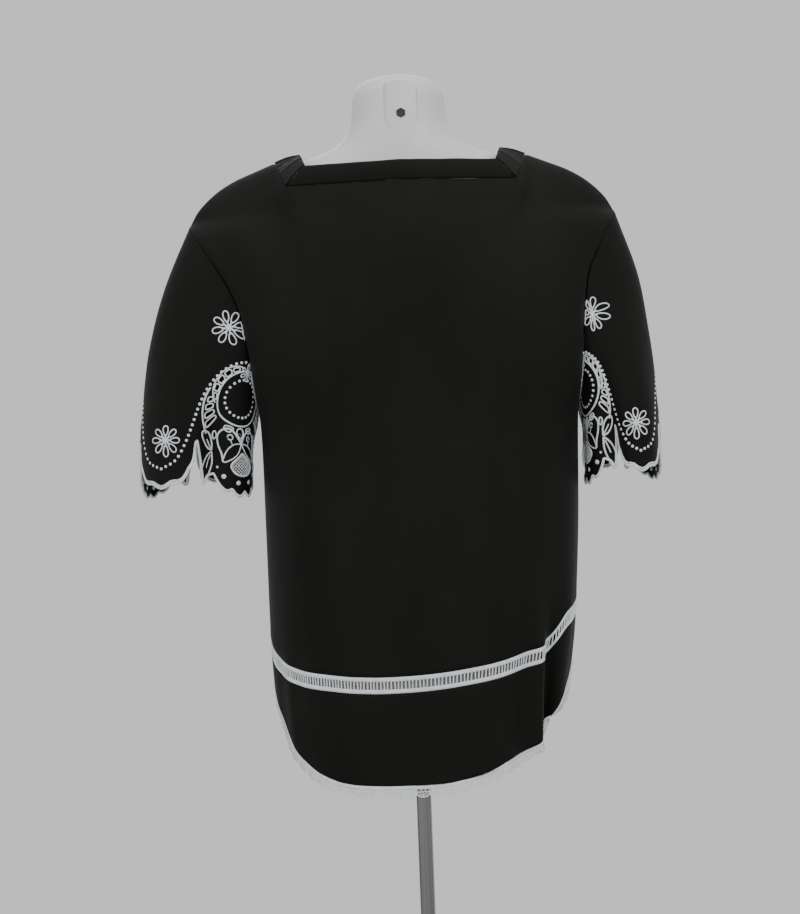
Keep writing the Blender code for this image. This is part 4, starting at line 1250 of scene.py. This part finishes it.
class BLOUSE_OT_embroidery(bpy.types.Operator):
    """Stitches the sleeves: cutwork outlines, leaves, daisies, dotted lines, scalloped edges and nets."""
    bl_idname = "blouse.embroidery"
    bl_label = "Embroidery"

    def execute(self, context):
        sizes = context.scene.blouse_sizes
        look = bpy.data.materials["white_thread"]
        panels, tongues = sleeve_middles()
        for hand, sign in (("left", 1), ("right", -1)):
            def placed(line, middle):
                return [worn_sleeve(sign, middle + a, b) for a, b in line]
            lines = []
            high_daisy, tongue_daisy = (-0.0500, 0.0045) if sign > 0 else (-0.0760, 0.0020)
            flowers = []
            for middle in panels:
                for line, radius, closed in panel_lines():
                    lines.append((placed(line, middle), radius, closed))
                flowers.append((middle + high_daisy, 0.189, 11.0))
                for line, radius, closed in daisy_lines((0, RING_HEIGHT + 0.031), 0.0105, 6, 30.0, 0.0009):
                    lines.append((placed(line, middle), radius, closed))
            for middle in tongues:
                flowers.append((middle + tongue_daisy, 0.0565, 0.0))
            for u, v, turn in flowers:
                for line, radius, closed in daisy_lines((0, 0), sizes.petal, 8, turn, sizes.cord * 0.95):
                    lines.append((placed(true_shape(sign, u, v, line), 0.0), radius, closed))
            stitched = cord_piece(f"{hand}_stitching", lines, look)
            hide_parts(f"sleeve_{hand}_back")
            self.edge(hand, sign, placed, tongues, look, sizes)
            self.dots(hand, sign, panels, look)
            self.nets(hand, placed, panels, look)
        return {"FINISHED"}

    def edge(self, hand, sign, placed, tongues, look, sizes):
        """The thick stitching along the scalloped edge."""
        run = evened([(u, v + 0.0011) for u, v in edge_run(tongues[0], REPEATS)], 0.0020)
        lines = [(placed(run, 0.0), sizes.edge_cord, False)]
        for middle in tongues:
            band = [(a, b + 0.0032) for a, b in tongue_edge() if abs(a) < 0.0440]
            lines.append((placed(evened(band, 0.0022), middle), sizes.edge_cord * 0.75, False))
        piece = cord_piece(f"{hand}_edge_stitching", lines, look)
        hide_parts(f"sleeve_{hand}_front")

    def dots(self, hand, sign, panels, look):
        """The stitched dots, each a low dome on the cloth."""
        bm = bmesh.new()
        for middle in panels:
            for a, b, radius in dotted_spots():
                spot = worn_sleeve(sign, middle + a, b)
                out = worn_facing(sign, middle + a, b)
                turn = out.to_track_quat("Z", "Y").to_matrix().to_4x4()
                made = bmesh.ops.create_icosphere(bm, subdivisions=2, radius=1.0)["verts"]
                bmesh.ops.scale(bm, vec=(radius, radius, 0.0013), verts=made)
                bmesh.ops.transform(bm, matrix=Matrix.Translation(spot) @ turn, verts=made)
        piece = new_piece(f"{hand}_dots", bm, look)
        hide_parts(f"sleeve_{hand}_back")

    def nets(self, hand, placed, panels, look):
        """The fine net across each half-oval opening."""
        shape = net_opening()
        lines = []
        for middle in panels:
            for slope in (1, -1):
                for k in range(-9, 10):
                    across = [-0.016 + 0.032 * step / 40 for step in range(41)]
                    line = [(a, 0.028 + k * 0.0031 + slope * a * 0.8) for a in across]
                    line = [spot for spot in line if within(shape, *spot)]
                    if len(line) > 2:
                        ends = [line[0], line[len(line) // 2], line[-1]]
                        lines.append((placed(ends, middle), 0.00045, False))
        piece = cord_piece(f"{hand}_nets", lines, look, 0)
        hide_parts(f"sleeve_{hand}_back")


def within(loop, u, v):
    """Whether a flat point lies inside a closed loop."""
    hit = False
    for (u0, v0), (u1, v1) in zip(loop, loop[1:] + loop[:1]):
        if (v0 > v) != (v1 > v) and u < u0 + (v - v0) / (v1 - v0) * (u1 - u0):
            hit = not hit
    return hit


class BLOUSE_OT_stage(bpy.types.Operator):
    """Sets the pale floor, the soft lights and the camera."""
    bl_idname = "blouse.stage"
    bl_label = "Stage"

    def execute(self, context):
        colour = tuple(context.scene.blouse_colours.floor)
        look, shader = shader_of("pale_floor", colour, 0.8)
        tinted(look, shader, noise_at(look, 3.0), colour, 0.97, 1.03)
        bm = bmesh.new()
        bmesh.ops.create_circle(bm, cap_ends=True, segments=96, radius=1.5)
        bmesh.ops.translate(bm, vec=(0, 0, -0.0005), verts=bm.verts[:])
        floor = linked("studio_floor", mesh_from("studio_floor", bm))
        floor.data.materials.append(look)
        world = bpy.data.worlds.new("studio_air")
        world.use_nodes = True
        back = world.node_tree.nodes["Background"]
        back.inputs["Color"].default_value = (0.76, 0.76, 0.77, 1)
        back.inputs["Strength"].default_value = 1.0
        context.scene.world = world
        lamps = (
            ("key_light", (-1.5, 2.3, 2.5), 34.0, 1.6),
            ("fill_light", (1.9, 2.2, 1.9), 22.0, 1.6),
            ("front_light", (0.3, -2.4, 2.4), 16.0, 1.6),
            ("top_light", (0.0, 0.2, 3.2), 14.0, 1.4),
        )
        for name, place, power, size in lamps:
            lamp = bpy.data.lights.new(name, "AREA")
            lamp.energy = power
            lamp.size = size
            holder = linked(name, lamp)
            holder.location = place
            aim = Vector((0, 0, 1.1)) - Vector(place)
            holder.rotation_euler = aim.to_track_quat("-Z", "Y").to_euler()
        view = bpy.data.cameras.new("photo_view")
        view.sensor_width = 36.0
        view.lens = LENS
        view.dof.use_dof = False
        holder = linked("photo_view", view)
        face = Matrix.Rotation(math.pi, 4, "Z") @ Matrix.Rotation(math.pi / 2, 4, "X")
        roll = Matrix.Rotation(CAMERA_ROLL, 4, "Z")
        holder.matrix_world = Matrix.Translation(CAMERA_AT) @ face @ roll
        context.scene.camera = holder
        return {"FINISHED"}


STEPS = (
    BLOUSE_OT_materials,
    BLOUSE_OT_stand,
    BLOUSE_OT_form,
    BLOUSE_OT_body,
    BLOUSE_OT_neckbands,
    BLOUSE_OT_ladder,
    BLOUSE_OT_lace,
    BLOUSE_OT_sleeves,
    BLOUSE_OT_embroidery,
    BLOUSE_OT_stage,
)


class BLOUSE_PT_panel(bpy.types.Panel):
    """Lists the blouse's steps and sizes."""
    bl_label = "Tunic blouse"
    bl_idname = "BLOUSE_PT_panel"
    bl_space_type = "VIEW_3D"
    bl_region_type = "UI"
    bl_category = "Blouse"

    def draw(self, context):
        column = self.layout.column()
        for step in STEPS:
            column.operator(step.bl_idname, text=step.bl_label)
        for group in (context.scene.blouse_sizes, context.scene.blouse_colours):
            for name in group.__annotations__:
                column.prop(group, name)


CLASSES = (BlouseSizes, BlouseColours, *STEPS, BLOUSE_PT_panel)


def register():
    """Adds the classes and the two groups of settings."""
    for item in CLASSES:
        bpy.utils.register_class(item)
    bpy.types.Scene.blouse_sizes = bpy.props.PointerProperty(type=BlouseSizes)
    bpy.types.Scene.blouse_colours = bpy.props.PointerProperty(type=BlouseColours)


def unregister():
    """Takes them out again."""
    del bpy.types.Scene.blouse_colours
    del bpy.types.Scene.blouse_sizes
    for item in reversed(CLASSES):
        bpy.utils.unregister_class(item)


def main():
    """Registers the add-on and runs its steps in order."""
    register()
    bpy.ops.blouse.materials()
    bpy.ops.blouse.stand()
    bpy.ops.blouse.form()
    bpy.ops.blouse.body()
    bpy.ops.blouse.neckbands()
    bpy.ops.blouse.ladder()
    bpy.ops.blouse.lace()
    bpy.ops.blouse.sleeves()
    bpy.ops.blouse.embroidery()
    bpy.ops.blouse.stage()


if __name__ == "__main__":
    main()
